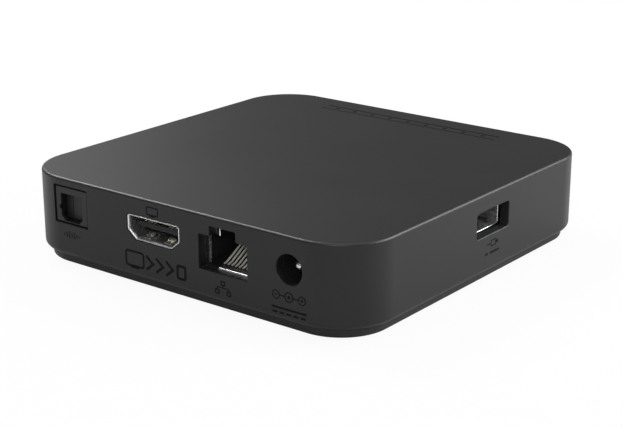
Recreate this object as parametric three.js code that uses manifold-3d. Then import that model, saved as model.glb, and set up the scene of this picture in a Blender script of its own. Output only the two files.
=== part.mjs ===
/**
 * Streaming media player: a low, square television box of dark plastic, with a row of ports on
 * its rear face, an accessory port on one side, four feet, and the electronics inside.
 *
 * Units are millimetres and +Z is up. The front looks towards -Y, the port row towards +Y and the
 * accessory port towards -X. The origin is under the middle of the box, on the surface it stands on.
 * Each connector is built in a frame of its own: X across it, Y out of the wall with 0 on the
 * wall's outer face, and Z above the circuit board with 0 on the board's upper face.
 */
import * as THREE from 'three';
import { mergeVertices } from 'three/addons/utils/BufferGeometryUtils.js';
import Module from 'manifold-3d';

const wasm = await Module();
wasm.setup();

// Clearances
const SEAT_GAP = 0.1; // between pieces that rest on one another
const FIT_GAP = 0.3; // around a piece that passes through or into another
const PIVOT_GAP = 0.15; // around the fine pieces that turn

// Case
const CASE_WIDTH = 95;
const CASE_DEPTH = 95;
const CASE_HEIGHT = 20.5; // from the underside of the plinth to the top face
const CORNER_RADIUS = 13.1;
const SIDE_WALL = 2.2;
const TOP_WALL = 1.6;
const FLOOR_WALL = 2; // the plinth is as high as the floor is thick
const PLINTH_INSET = 1.7;
const TOP_EDGE_ROUND = 0.6;
const WALL_FOOT_ROUND = 1.5;
const PLINTH_EDGE_ROUND = 0.6;
const RIM_HEIGHT = 2.6; // the rim of the bottom cover that locates the top cover
const RIM_WALL = 1.2;

// Feet, in pockets of the bottom cover
const FOOT_RADIUS = 4.5;
const FOOT_PROUD = 0.8;
const FOOT_POCKET = 0.8;
const FOOT_INSET = 12.5; // from the case's sides to a foot's middle
const FOOT_EDGE_ROUND = 0.4;

// Case screws, driven from below into posts of the top cover
const CASE_SCREW_RADIUS = 1.25;
const CASE_SCREW_HEAD_RADIUS = 2.3;
const CASE_SCREW_HEAD_HEIGHT = 1.5;
const CASE_SCREW_LENGTH = 7;
const CASE_SCREW_INSET = 7.5;
const CASE_SCREW_REAR_INSET = 23.5;
const CASE_SCREW_FRONT_INSET = 19.5;
const CASE_BOSS_WALL = 1;
const CASE_BOSS_WEB = 1.4;
const CASE_BOSS_HEIGHT = 1.8;
const POST_WALL = 1.7;
const POST_TO_BOARD = 1;

// Circuit board and its screws
const STANDOFF_HEIGHT = 5.8;
const BOARD_THICKNESS = 1.6;
const BOARD_EDGE_GAP = 0.5;
const BOARD_SCREW_RADIUS = 1;
const BOARD_SCREW_HEAD_RADIUS = 1.9;
const BOARD_SCREW_HEAD_HEIGHT = 1.2;
const BOARD_SCREW_LENGTH = 5;
const BOARD_SCREW_INSET = 14.5;
const BOARD_SCREW_REAR_INSET = 20.5;
const BOARD_SCREW_FRONT_INSET = 21.5;
const STANDOFF_WALL = 1.4;

// Port row: the ports share the length left over between them
const PORT_ROW_OVERHANG = 1.4; // how far the row runs into the rounded corners
const OPTICAL_TO_VIDEO_SHARE = 0.58;
const VIDEO_TO_NETWORK_SHARE = 0.19;

// Video port
const VIDEO_WIDTH = 15;
const VIDEO_HEIGHT = 5.5;
const VIDEO_CHAMFER_WIDTH = 2.3;
const VIDEO_CHAMFER_HEIGHT = 1.9;
const VIDEO_DEPTH = 11.4;
const VIDEO_RECESS = 0.1;
const VIDEO_LIFT = 1.3;
const VIDEO_SHEET = 0.45;
const VIDEO_TONGUE_WIDTH = 11.9;
const VIDEO_TONGUE_HEIGHT = 1.25;
const VIDEO_TONGUE_LIFT = 2.5; // above the shell's underside
const VIDEO_TONGUE_RECESS = 2;
const VIDEO_CONTACT_PITCH = 1;
const VIDEO_CONTACT_WIDTH = 0.3;
const VIDEO_UPPER_CONTACTS = 10;
const VIDEO_LOWER_CONTACTS = 9;

// Network jack
const NETWORK_WIDTH = 16;
const NETWORK_DEPTH = 14;
const NETWORK_ROOF_LIFT = 9.1; // the shield's top above the board
const NETWORK_SINK = 2.2; // how far the jack reaches below the board's upper face
const NETWORK_SHEET = 0.3;
const NETWORK_CAVITY_WIDTH = 11.8;
const NETWORK_CAVITY_HEIGHT = 6.9;
const NETWORK_CAVITY_DEPTH = 11.2;
const NETWORK_SILL_DROP = 0.75; // the cavity's floor below the board's upper face
const NETWORK_LATCH_WIDTH = 6.4;
const NETWORK_LATCH_HEIGHT = 2.2;
const NETWORK_OPENING_MARGIN = 0.65; // how much wider the case opening is on each side
const NETWORK_OPENING_LIP = 0.4; // how much further down and up the case opening reaches
const NETWORK_CONTACTS = 8;
const NETWORK_CONTACT_PITCH = 1.02;
const NETWORK_CONTACT_WIDTH = 0.45;
const NETWORK_CONTACT_SHEET = 0.35;

// Power jack
const POWER_WIDTH = 9;
const POWER_DEPTH = 14;
const POWER_AXIS_LIFT = 3.9;
const POWER_TOP_WALL = 4.8; // from the axis to the housing's top
const POWER_SINK = 1.3;
const POWER_BORE_RADIUS = 3.25;
const POWER_BORE_DEPTH = 10.5;
const POWER_PIN_RADIUS = 1.05;
const POWER_PIN_LENGTH = 12;
const POWER_SPRING_WIDTH = 2.4;
const POWER_SPRING_SHEET = 0.3;

// Accessory port
const ACCESSORY_WIDTH = 13.1;
const ACCESSORY_HEIGHT = 5.8;
const ACCESSORY_DEPTH = 13.5;
const ACCESSORY_SETBACK = 0.5; // from the wall's inner face to the shell
const ACCESSORY_LIFT = 1.3;
const ACCESSORY_SHEET = 0.3;
const ACCESSORY_OFFSET = -3.1; // along the side wall, from its middle
const ACCESSORY_CORNER_RADIUS = 0.7;
const ACCESSORY_TONGUE_WIDTH = 11.1;
const ACCESSORY_TONGUE_HEIGHT = 1.84;
const ACCESSORY_TONGUE_SETBACK = 1;
const ACCESSORY_CONTACTS = 4;
const ACCESSORY_CONTACT_PITCH = 2.25;
const ACCESSORY_CONTACT_WIDTH = 1;
const CONTACT_SHEET = 0.15;

// Legs of the sheet-metal shells, which stand in slots of the board
const LEG_LENGTH = 1.4;
const LEG_BELOW_BOARD = 0.8;

// Optical port with its spring-loaded shutter
const OPTICAL_OPENING_WIDTH = 10.4;
const OPTICAL_OPENING_HEIGHT = 8.8;
const OPTICAL_OPENING_LIFT = 0.4;
const OPTICAL_MARGIN = 0.25; // the dark gap around the housing
const OPTICAL_RECESS = 0.3;
const OPTICAL_DEPTH = 13.8;
const OPTICAL_FRAME = 0.8; // thickness of the frame in front of the shutter
const SOCKET_WIDTH = 6.6;
const SOCKET_HEIGHT = 6.4;
const SOCKET_LIFT = 0.9;
const SOCKET_CHAMFER = 1.2;
const SOCKET_KEY = 0.5;
const SOCKET_DEPTH = 9.2;
const SHUTTER_WIDTH = 7;
const SHUTTER_SHEET = 0.6;
const HINGE_PIN_RADIUS = 0.35;
const KNUCKLE_RADIUS = 0.75;
const KNUCKLE_LENGTH = 1.6;
const SPRING_WIRE_RADIUS = 0.12;
const SPRING_TURNS = 3;
const SPRING_LEG = 3;
const SPRING_GROOVE = 0.35; // depth of the groove in the shutter's back for the spring's leg
const EMITTER_WIDTH = 6;
const EMITTER_DEPTH = 2;
const EMITTER_LENS_RADIUS = 1;

// Front: infrared window and status light
const WINDOW_WIDTH = 26;
const WINDOW_HEIGHT = 6;
const WINDOW_LIFT = 1.6; // above the board
const WINDOW_FLANGE = 1.2;
const WINDOW_FLANGE_SHEET = 0.8;
const RECEIVER_WIDTH = 6;
const RECEIVER_DEPTH = 3;
const RECEIVER_HEIGHT = 6.5;
const RECEIVER_DOME_RADIUS = 1.8;
const STATUS_OFFSET = 20;
const STATUS_PIPE_RADIUS = 1;
const STATUS_PIPE_LENGTH = 3.4;
const STATUS_LED_SIZE = 2;
const STATUS_LED_HEIGHT = 1.6;

// Underside: vents, label recess and reset switch
const VENT_SLOTS = 11;
const VENT_PITCH = 4;
const VENT_WIDTH = 1.6;
const VENT_LENGTH = 16;
const VENT_MIDDLE = 12;
const LABEL_WIDTH = 42;
const LABEL_DEPTH = 18;
const LABEL_MIDDLE = -22;
const LABEL_SHEET = 0.2;
const LABEL_RECESS = 0.4;
const RESET_OFFSET = [-30, 10];
const RESET_HOLE_RADIUS = 0.9;
const RESET_SWITCH_WIDTH = 4.5;
const RESET_SWITCH_HEIGHT = 3;
const RESET_PLUNGER_RADIUS = 0.9;
const RESET_PLUNGER_LENGTH = 1.8;
const RESET_PLUNGER_PROUD = 0.7;

// Chips and other parts that stand on the board: width, depth, height
const PROCESSOR = [17, 17, 1.4];
const THERMAL_PAD = [15, 15, 0.6];
const MEMORY_CHIP = [11, 8, 1];
const STORAGE_CHIP = [13, 11.5, 1];
const POWER_CHIP = [5, 5, 0.9];
const WIRELESS_MODULE = [13, 12, 1.8];
const MODULE_INSET = 25; // its middle, in from the board's side and the front of the case
const TRANSFORMER = [13, 7.5, 4.2];
const INDUCTOR = [7, 7, 4];
const CRYSTAL = [5, 3.2, 1.2];
const HEAT_SINK = [34, 30, 1.5];
const HEAT_SINK_FINS = 8;
const HEAT_SINK_FIN_HEIGHT = 4.2;
const HEAT_SINK_FIN_SHEET = 1;
const PROCESSOR_MIDDLE = [6, 4];
const CAPACITOR_RADIUS = 3.15;
const CAPACITOR_HEIGHT = 7.4;
const CAPACITOR_BASE = 0.8;

// Aerials and their coaxial leads
const AERIAL_LENGTH = 18;
const AERIAL_HEIGHT = 6.5;
const AERIAL_SHEET = 0.5;
const LEAD_RADIUS = 0.55;
const LEAD_PLUG_RADIUS = 1.2;
const LEAD_PLUG_HEIGHT = 1;

// Facets: an arc of an outline gets twice as many as its steps
const CORNER_STEPS = 4;
const SMALL_CORNER_STEPS = 1;
const EDGE_STEPS = 2;
const ROUND_STEPS = 12;
const FOOT_STEPS = 20;

// Levels and half sizes that follow from the driving dimensions
const HALF_WIDTH = CASE_WIDTH / 2;
const HALF_DEPTH = CASE_DEPTH / 2;
const BASE = FOOT_PROUD;
const CASE_TOP = BASE + CASE_HEIGHT;
const CEILING = CASE_TOP - TOP_WALL;
const FLOOR = BASE + FLOOR_WALL;
const BOARD_BOTTOM = FLOOR + STANDOFF_HEIGHT + SEAT_GAP;
const BOARD_TOP = BOARD_BOTTOM + BOARD_THICKNESS;
const BOARD_INSET = SIDE_WALL + BOARD_EDGE_GAP;
const PART_SEAT = SEAT_GAP; // underside of what stands on the board, above the board's face
const POST_RADIUS = CASE_SCREW_RADIUS + FIT_GAP + POST_WALL;
const POST_BOTTOM = FLOOR + CASE_BOSS_HEIGHT + SEAT_GAP;
const SOCKET_BACK = -(OPTICAL_RECESS + OPTICAL_FRAME + SOCKET_DEPTH);

const REAR_SPARE = CASE_WIDTH - 2 * CORNER_RADIUS + 2 * PORT_ROW_OVERHANG
  - OPTICAL_OPENING_WIDTH - VIDEO_WIDTH - NETWORK_WIDTH - POWER_WIDTH;
const ROW_END = HALF_WIDTH - CORNER_RADIUS + PORT_ROW_OVERHANG;
const OPTICAL_X = ROW_END - OPTICAL_OPENING_WIDTH / 2;
const VIDEO_X = OPTICAL_X - OPTICAL_OPENING_WIDTH / 2 - VIDEO_WIDTH / 2
  - REAR_SPARE * OPTICAL_TO_VIDEO_SHARE;
const NETWORK_X = VIDEO_X - VIDEO_WIDTH / 2 - NETWORK_WIDTH / 2
  - REAR_SPARE * VIDEO_TO_NETWORK_SHARE;
const POWER_X = -ROW_END + POWER_WIDTH / 2;

// ---------------------------------------------------------------- solids from three.js geometry

function solid(geometry) {
  const bare = geometry.clone();
  bare.deleteAttribute('normal');
  bare.deleteAttribute('uv');
  const merged = mergeVertices(bare, 1e-4);
  return new wasm.Manifold(new wasm.Mesh({
    numProp: 3,
    vertProperties: Float32Array.from(merged.attributes.position.array),
    triVerts: Uint32Array.from(merged.index.array),
  }));
}

function geometryOf(shape) {
  const { vertProperties, triVerts } = shape.getMesh();
  const geometry = new THREE.BufferGeometry();
  geometry.setAttribute('position', new THREE.BufferAttribute(vertProperties, 3));
  geometry.setIndex(new THREE.BufferAttribute(triVerts, 1));
  geometry.computeVertexNormals();
  return geometry;
}

function union(shapes) {
  return shapes.reduce((whole, shape) => whole.add(shape));
}

function cut(shape, tools) {
  return tools.reduce((rest, tool) => rest.subtract(tool), shape);
}

function block(x0, x1, y0, y1, z0, z1) {
  const geometry = new THREE.BoxGeometry(x1 - x0, y1 - y0, z1 - z0);
  return solid(geometry.translate((x0 + x1) / 2, (y0 + y1) / 2, (z0 + z1) / 2));
}

// A block that stands on z0, with its middle at x, y.
function brick([width, depth, height], x, y, z0) {
  return block(x - width / 2, x + width / 2, y - depth / 2, y + depth / 2, z0, z0 + height);
}

// An outline in X and Y, raised from z0 to z1, with both of its ends rounded over by edge.
function slab(outline, z0, z1, edge = 0, steps = CORNER_STEPS) {
  const geometry = new THREE.ExtrudeGeometry(outline, {
    depth: z1 - z0 - 2 * edge,
    bevelEnabled: edge > 0,
    bevelThickness: edge,
    bevelSize: edge,
    bevelOffset: -edge,
    bevelSegments: EDGE_STEPS,
    curveSegments: steps,
  });
  return solid(geometry.translate(0, 0, z0 + edge));
}

// An outline in X and Z, run along Y from its outer end at y1 in to y0.
function tunnel(outline, y0, y1, steps = SMALL_CORNER_STEPS) {
  const options = { depth: y1 - y0, bevelEnabled: false, curveSegments: steps };
  const geometry = new THREE.ExtrudeGeometry(outline, options);
  return solid(geometry.rotateX(Math.PI / 2).translate(0, y1, 0));
}

// An outline in Y and Z, run along X from x0 to x1.
function strip(outline, x0, x1) {
  const geometry = new THREE.ExtrudeGeometry(outline, { depth: x1 - x0, bevelEnabled: false });
  const turn = new THREE.Matrix4().makeBasis(
    new THREE.Vector3(0, 1, 0), new THREE.Vector3(0, 0, 1), new THREE.Vector3(1, 0, 0));
  return solid(geometry.applyMatrix4(turn).translate(x0, 0, 0));
}

function rodX(radius, x0, x1, y, z, steps = ROUND_STEPS) {
  const geometry = new THREE.CylinderGeometry(radius, radius, x1 - x0, steps);
  return solid(geometry.rotateZ(Math.PI / 2).translate((x0 + x1) / 2, y, z));
}

function rodY(radius, x, y0, y1, z, steps = ROUND_STEPS) {
  const geometry = new THREE.CylinderGeometry(radius, radius, y1 - y0, steps);
  return solid(geometry.translate(x, (y0 + y1) / 2, z));
}

function rodZ(radius, x, y, z0, z1, steps = ROUND_STEPS) {
  const geometry = new THREE.CylinderGeometry(radius, radius, z1 - z0, steps);
  return solid(geometry.rotateX(Math.PI / 2).translate(x, y, (z0 + z1) / 2));
}

// A profile of [radius, height] pairs, from the axis at the bottom to the axis at the top.
function turned(profile, steps = ROUND_STEPS) {
  const points = profile.map(([radius, height]) => new THREE.Vector2(radius, height));
  return solid(new THREE.LatheGeometry(points, steps).rotateX(Math.PI / 2));
}

function wire(points, radius, stepsAlong, sides) {
  const section = new THREE.Shape().absarc(0, 0, radius, 0, 2 * Math.PI);
  const path = new THREE.CatmullRomCurve3(points);
  const options = { steps: stepsAlong, bevelEnabled: false, extrudePath: path, curveSegments: sides };
  return solid(new THREE.ExtrudeGeometry(section, options));
}

function polygon(points) {
  return new THREE.Shape(points.map(([u, v]) => new THREE.Vector2(u, v)));
}

function rectangle(u0, u1, v0, v1) {
  return polygon([[u0, v0], [u1, v0], [u1, v1], [u0, v1]]);
}

function roundedRectangle(width, height, radius, u = 0, v = 0) {
  const across = width / 2 - radius;
  const up = height / 2 - radius;
  const outline = new THREE.Shape();
  outline.absarc(u + across, v + up, radius, 0, Math.PI / 2);
  outline.absarc(u - across, v + up, radius, Math.PI / 2, Math.PI);
  outline.absarc(u - across, v - up, radius, Math.PI, 1.5 * Math.PI);
  outline.absarc(u + across, v - up, radius, 1.5 * Math.PI, 2 * Math.PI);
  return outline;
}

function caseOutline(inset) {
  const radius = CORNER_RADIUS - inset;
  return roundedRectangle(CASE_WIDTH - 2 * inset, CASE_DEPTH - 2 * inset, radius);
}

function fourCorners(x, rearY, frontY) {
  return [[-x, rearY], [x, rearY], [-x, frontY], [x, frontY]];
}

function evenly(count, pitch) {
  return Array.from({ length: count }, (_, index) => (index - (count - 1) / 2) * pitch);
}

// ---------------------------------------------------------------- frames and finishes

function frameAt(x, y, z, turn = 0) {
  const frame = new THREE.Group();
  frame.position.set(x, y, z);
  frame.rotation.z = turn;
  frame.updateMatrixWorld();
  return frame;
}

function moved(shape, frame) {
  return solid(geometryOf(shape).applyMatrix4(frame.matrixWorld));
}

const opticalFrame = frameAt(OPTICAL_X, HALF_DEPTH, BOARD_TOP);
const videoFrame = frameAt(VIDEO_X, HALF_DEPTH, BOARD_TOP);
const networkFrame = frameAt(NETWORK_X, HALF_DEPTH, BOARD_TOP);
const powerFrame = frameAt(POWER_X, HALF_DEPTH, BOARD_TOP);
const accessoryFrame = frameAt(-HALF_WIDTH, ACCESSORY_OFFSET, BOARD_TOP, Math.PI / 2);

const finish = (color, roughness, metalness = 0) => (
  () => new THREE.MeshStandardMaterial({ color, roughness, metalness }));
const darkPlastic = finish(0x2e2e30, 0.5);
const blackPlastic = finish(0x161617, 0.55);
const rubber = finish(0x1b1b1c, 0.9);
const smokedPlastic = finish(0x170b0e, 0.15);
const clearPlastic = finish(0xd9e2e6, 0.2);
const steel = finish(0xb9bcc0, 0.3, 1);
const gold = finish(0xd9a441, 0.3, 1);
const aluminium = finish(0x9ea2a6, 0.4, 1);
const boardGreen = finish(0x14502f, 0.5);
const chipBlack = finish(0x1d1d1f, 0.6);
const paperWhite = finish(0xe6e6e2, 0.8);
const padGrey = finish(0x8f9aa8, 0.9);

function piece(name, shape, look, place = [0, 0, 0]) {
  const mesh = new THREE.Mesh(geometryOf(shape), look());
  mesh.name = name;
  mesh.position.set(...place);
  return mesh;
}

function gather(frame, pieces) {
  frame.add(...pieces);
  return frame;
}

// ---------------------------------------------------------------- case

const CASE_SCREWS = fourCorners(HALF_WIDTH - CASE_SCREW_INSET,
  HALF_DEPTH - CASE_SCREW_REAR_INSET, -HALF_DEPTH + CASE_SCREW_FRONT_INSET);
const BOARD_SCREWS = fourCorners(HALF_WIDTH - BOARD_SCREW_INSET,
  HALF_DEPTH - BOARD_SCREW_REAR_INSET, -HALF_DEPTH + BOARD_SCREW_FRONT_INSET);
const FEET = fourCorners(HALF_WIDTH - FOOT_INSET, HALF_DEPTH - FOOT_INSET, -HALF_DEPTH + FOOT_INSET);

// The walls are rounded under more than over, so the outside is joined from two slabs.
function coverOutside() {
  const bottom = FLOOR + SEAT_GAP;
  const middle = (bottom + CASE_TOP) / 2;
  const lower = slab(caseOutline(0), bottom, CASE_TOP + CASE_HEIGHT, WALL_FOOT_ROUND);
  const upper = slab(caseOutline(0), bottom - CASE_HEIGHT, CASE_TOP, TOP_EDGE_ROUND);
  const level = (z0, z1) => block(-CASE_WIDTH, CASE_WIDTH, -CASE_DEPTH, CASE_DEPTH, z0, z1);
  return lower.intersect(level(0, middle)).add(upper.intersect(level(middle, 2 * CASE_TOP)));
}

function topCover() {
  const inside = slab(caseOutline(SIDE_WALL), 0, CEILING);
  const bore = CASE_SCREW_RADIUS + FIT_GAP;
  const boreTop = POST_BOTTOM + CASE_SCREW_LENGTH;
  const posts = CASE_SCREWS.map(([x, y]) => rodZ(POST_RADIUS, x, y, POST_BOTTOM, CEILING + SEAT_GAP));
  const bores = CASE_SCREWS.map(([x, y]) => rodZ(bore, x, y, 0, boreTop));
  const through = [-2 * SIDE_WALL, SIDE_WALL];
  return cut(coverOutside().subtract(inside).add(union(posts)), [
    ...bores,
    moved(tunnel(opticalOpening(), ...through), opticalFrame),
    moved(tunnel(videoOutline(-FIT_GAP / 2), ...through), videoFrame),
    moved(tunnel(networkOpening(), ...through), networkFrame),
    moved(tunnel(powerOpening(), ...through, ROUND_STEPS / 2), powerFrame),
    moved(tunnel(accessoryOutline(0), ...through), accessoryFrame),
    tunnel(windowOutline(0), -HALF_DEPTH - SIDE_WALL, -HALF_DEPTH + 2 * SIDE_WALL),
    statusBore(),
  ]);
}

function ventOutline(x) {
  return roundedRectangle(VENT_WIDTH, VENT_LENGTH, VENT_WIDTH / 2 - 0.01, x, VENT_MIDDLE);
}

function bottomCover() {
  const plate = slab(caseOutline(PLINTH_INSET), BASE, FLOOR + CASE_HEIGHT, PLINTH_EDGE_ROUND)
    .intersect(block(-CASE_WIDTH, CASE_WIDTH, -CASE_DEPTH, CASE_DEPTH, 0, FLOOR));
  const rimInset = SIDE_WALL + FIT_GAP;
  const rim = slab(caseOutline(rimInset), FLOOR - SEAT_GAP, FLOOR + RIM_HEIGHT)
    .subtract(slab(caseOutline(rimInset + RIM_WALL), 0, CASE_TOP));
  const standoff = BOARD_SCREW_RADIUS + FIT_GAP + STANDOFF_WALL;
  const counterbore = CASE_SCREW_HEAD_RADIUS + FIT_GAP;
  const bossTop = FLOOR + CASE_BOSS_HEIGHT;
  const solids = [
    plate,
    rim,
    ...BOARD_SCREWS.map(([x, y]) => rodZ(standoff, x, y, FLOOR - SEAT_GAP, FLOOR + STANDOFF_HEIGHT)),
    ...CASE_SCREWS.map(([x, y]) => (
      rodZ(counterbore + CASE_BOSS_WALL, x, y, FLOOR - SEAT_GAP, bossTop))),
  ];
  return cut(union(solids), [
    ...BOARD_SCREWS.map(([x, y]) => rodZ(BOARD_SCREW_RADIUS + FIT_GAP, x, y, FLOOR + 1, BOARD_TOP, 8)),
    ...CASE_SCREWS.map(([x, y]) => rodZ(counterbore, x, y, 0, bossTop - CASE_BOSS_WEB)),
    ...CASE_SCREWS.map(([x, y]) => rodZ(CASE_SCREW_RADIUS + FIT_GAP, x, y, 0, CASE_TOP, 8)),
    ...FEET.map(([x, y]) => rodZ(FOOT_RADIUS + FIT_GAP, x, y, 0, BASE + FOOT_POCKET, FOOT_STEPS)),
    ...evenly(VENT_SLOTS, VENT_PITCH).map((x) => slab(ventOutline(x), 0, CASE_TOP, 0, SMALL_CORNER_STEPS)),
    brick([LABEL_WIDTH + 2 * FIT_GAP, LABEL_DEPTH + 2 * FIT_GAP, BASE + LABEL_RECESS], 0, LABEL_MIDDLE, 0),
    rodZ(RESET_HOLE_RADIUS, ...RESET_OFFSET, 0, CASE_TOP, 10),
  ]);
}

function foot() {
  const height = FOOT_PROUD + FOOT_POCKET - SEAT_GAP;
  const profile = [[0, 0], [FOOT_RADIUS - FOOT_EDGE_ROUND, 0], [FOOT_RADIUS, FOOT_EDGE_ROUND],
    [FOOT_RADIUS, height], [0, height]];
  return turned(profile, FOOT_STEPS);
}

// A pan-head screw, point down, with the underside of its head at z = 0 and a cross in its head.
function screw(radius, headRadius, headHeight, length) {
  const body = turned([[0, -length], [radius * 0.5, -length], [radius, radius - length], [radius, 0],
    [headRadius, 0], [headRadius, headHeight * 0.55], [headRadius * 0.8, headHeight], [0, headHeight]]);
  const arm = headRadius * 0.62;
  const bar = headRadius * 0.14;
  const depth = headHeight * 0.45;
  const cross = block(-arm, arm, -bar, bar, depth, 2 * headHeight)
    .add(block(-bar, bar, -arm, arm, depth, 2 * headHeight));
  return body.subtract(cross);
}

function casePieces() {
  const upsideDown = (shape) => solid(geometryOf(shape).rotateX(Math.PI));
  const caseScrew = upsideDown(screw(CASE_SCREW_RADIUS, CASE_SCREW_HEAD_RADIUS,
    CASE_SCREW_HEAD_HEIGHT, CASE_SCREW_LENGTH));
  const headSeat = FLOOR + CASE_BOSS_HEIGHT - CASE_BOSS_WEB - SEAT_GAP;
  const label = brick([LABEL_WIDTH, LABEL_DEPTH, LABEL_SHEET], 0, LABEL_MIDDLE,
    BASE + LABEL_RECESS - SEAT_GAP - LABEL_SHEET);
  return gather(new THREE.Group(), [
    piece('top_cover', topCover(), darkPlastic),
    piece('bottom_cover', bottomCover(), darkPlastic),
    piece('rating_label', label, paperWhite),
    ...FEET.map(([x, y], index) => piece(`foot_${index + 1}`, foot(), rubber, [x, y, 0])),
    ...CASE_SCREWS.map(([x, y], index) => (
      piece(`case_screw_${index + 1}`, caseScrew, steel, [x, y, headSeat]))),
  ]);
}

// ---------------------------------------------------------------- front window and status light

const WINDOW_Z = BOARD_TOP + WINDOW_LIFT + WINDOW_HEIGHT / 2;

function windowOutline(inset) {
  const radius = WINDOW_HEIGHT / 4;
  return roundedRectangle(WINDOW_WIDTH - 2 * inset, WINDOW_HEIGHT - 2 * inset, radius, 0, WINDOW_Z);
}

function frontWindow() {
  const innerFace = -HALF_DEPTH + SIDE_WALL + SEAT_GAP;
  const pane = tunnel(windowOutline(FIT_GAP), -HALF_DEPTH + SEAT_GAP, innerFace + SEAT_GAP);
  return pane.add(tunnel(windowOutline(-WINDOW_FLANGE), innerFace, innerFace + WINDOW_FLANGE_SHEET));
}

function statusBore() {
  const bore = STATUS_PIPE_RADIUS + FIT_GAP;
  return rodY(bore, STATUS_OFFSET, -HALF_DEPTH - SIDE_WALL, -HALF_DEPTH + 2 * SIDE_WALL, WINDOW_Z);
}

function statusPipe() {
  const back = -HALF_DEPTH + SEAT_GAP + STATUS_PIPE_LENGTH;
  const collarFront = -HALF_DEPTH + SIDE_WALL + SEAT_GAP;
  const rod = rodY(STATUS_PIPE_RADIUS, STATUS_OFFSET, -HALF_DEPTH + SEAT_GAP, back, WINDOW_Z);
  return rod.add(rodY(2 * STATUS_PIPE_RADIUS, STATUS_OFFSET, collarFront, back, WINDOW_Z));
}

function statusLed() {
  const front = -HALF_DEPTH + SEAT_GAP + STATUS_PIPE_LENGTH + FIT_GAP;
  const half = STATUS_LED_SIZE / 2;
  const stem = block(STATUS_OFFSET - half, STATUS_OFFSET + half, front, front + STATUS_LED_HEIGHT,
    BOARD_TOP + PART_SEAT, WINDOW_Z);
  return stem.add(rodY(half, STATUS_OFFSET, front, front + STATUS_LED_HEIGHT, WINDOW_Z));
}

function infraredReceiver() {
  const front = -HALF_DEPTH + SIDE_WALL + WINDOW_FLANGE_SHEET + RECEIVER_DOME_RADIUS + FIT_GAP + SEAT_GAP;
  const half = RECEIVER_WIDTH / 2;
  const body = block(-half, half, front, front + RECEIVER_DEPTH, BOARD_TOP + PART_SEAT,
    BOARD_TOP + PART_SEAT + RECEIVER_HEIGHT);
  const dome = new THREE.SphereGeometry(RECEIVER_DOME_RADIUS, ROUND_STEPS, ROUND_STEPS / 2);
  return body.add(solid(dome.translate(0, front, WINDOW_Z)));
}

function frontPieces() {
  return gather(new THREE.Group(), [
    piece('front_window', frontWindow(), smokedPlastic),
    piece('status_light_pipe', statusPipe(), clearPlastic),
    piece('status_led', statusLed(), clearPlastic),
    piece('infrared_receiver', infraredReceiver(), blackPlastic),
  ]);
}

// ---------------------------------------------------------------- video port

// The shell's outline, drawn in by inset: square above, with both lower corners cut off.
function videoOutline(inset) {
  const side = VIDEO_WIDTH / 2 - inset;
  const floor = VIDEO_LIFT + inset;
  const slope = Math.hypot(VIDEO_CHAMFER_WIDTH, VIDEO_CHAMFER_HEIGHT);
  const area = VIDEO_CHAMFER_WIDTH * VIDEO_CHAMFER_HEIGHT + inset * slope;
  const kneeZ = VIDEO_LIFT + (area - inset * VIDEO_CHAMFER_HEIGHT) / VIDEO_CHAMFER_WIDTH;
  const kneeX = VIDEO_WIDTH / 2 - (area - inset * VIDEO_CHAMFER_WIDTH) / VIDEO_CHAMFER_HEIGHT;
  const roof = VIDEO_LIFT + VIDEO_HEIGHT - inset;
  return polygon([[-kneeX, floor], [kneeX, floor], [side, kneeZ], [side, roof], [-side, roof],
    [-side, kneeZ]]);
}

// Four legs at the sides of a shell; grown by a gap they are the slots in the board.
function legs(halfWidth, sheet, depth, lift, gap = 0) {
  const bottom = -BOARD_THICKNESS - LEG_BELOW_BOARD - gap;
  const rows = [-SIDE_WALL - BOARD_EDGE_GAP - 2 * LEG_LENGTH, -depth + LEG_LENGTH];
  const leg = (side, y) => block(
    side * halfWidth - sheet / 2 - gap, side * halfWidth + sheet / 2 + gap,
    y - LEG_LENGTH / 2 - gap, y + LEG_LENGTH / 2 + gap, bottom, lift);
  return union(rows.flatMap((y) => [leg(-1, y), leg(1, y)]));
}

function videoLegs(gap) {
  const halfWidth = (VIDEO_WIDTH - VIDEO_SHEET) / 2;
  const lift = VIDEO_LIFT + VIDEO_CHAMFER_HEIGHT + VIDEO_SHEET;
  return legs(halfWidth, VIDEO_SHEET, VIDEO_RECESS + VIDEO_DEPTH, lift, gap);
}

function videoShell() {
  const back = -VIDEO_RECESS - VIDEO_DEPTH;
  const tube = tunnel(videoOutline(0), back, -VIDEO_RECESS)
    .subtract(tunnel(videoOutline(VIDEO_SHEET), back - 1, 1));
  return tube.add(videoLegs(0));
}

const VIDEO_ROOT = -VIDEO_RECESS - VIDEO_DEPTH + 2; // where the tongue leaves the insulator

function videoInsulator() {
  const plug = tunnel(videoOutline(VIDEO_SHEET + SEAT_GAP), -VIDEO_RECESS - VIDEO_DEPTH, VIDEO_ROOT);
  const half = VIDEO_TONGUE_WIDTH / 2;
  const z = VIDEO_LIFT + VIDEO_TONGUE_LIFT;
  const tongue = block(-half, half, VIDEO_ROOT - SEAT_GAP, -VIDEO_TONGUE_RECESS, z,
    z + VIDEO_TONGUE_HEIGHT);
  return plug.add(tongue);
}

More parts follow.
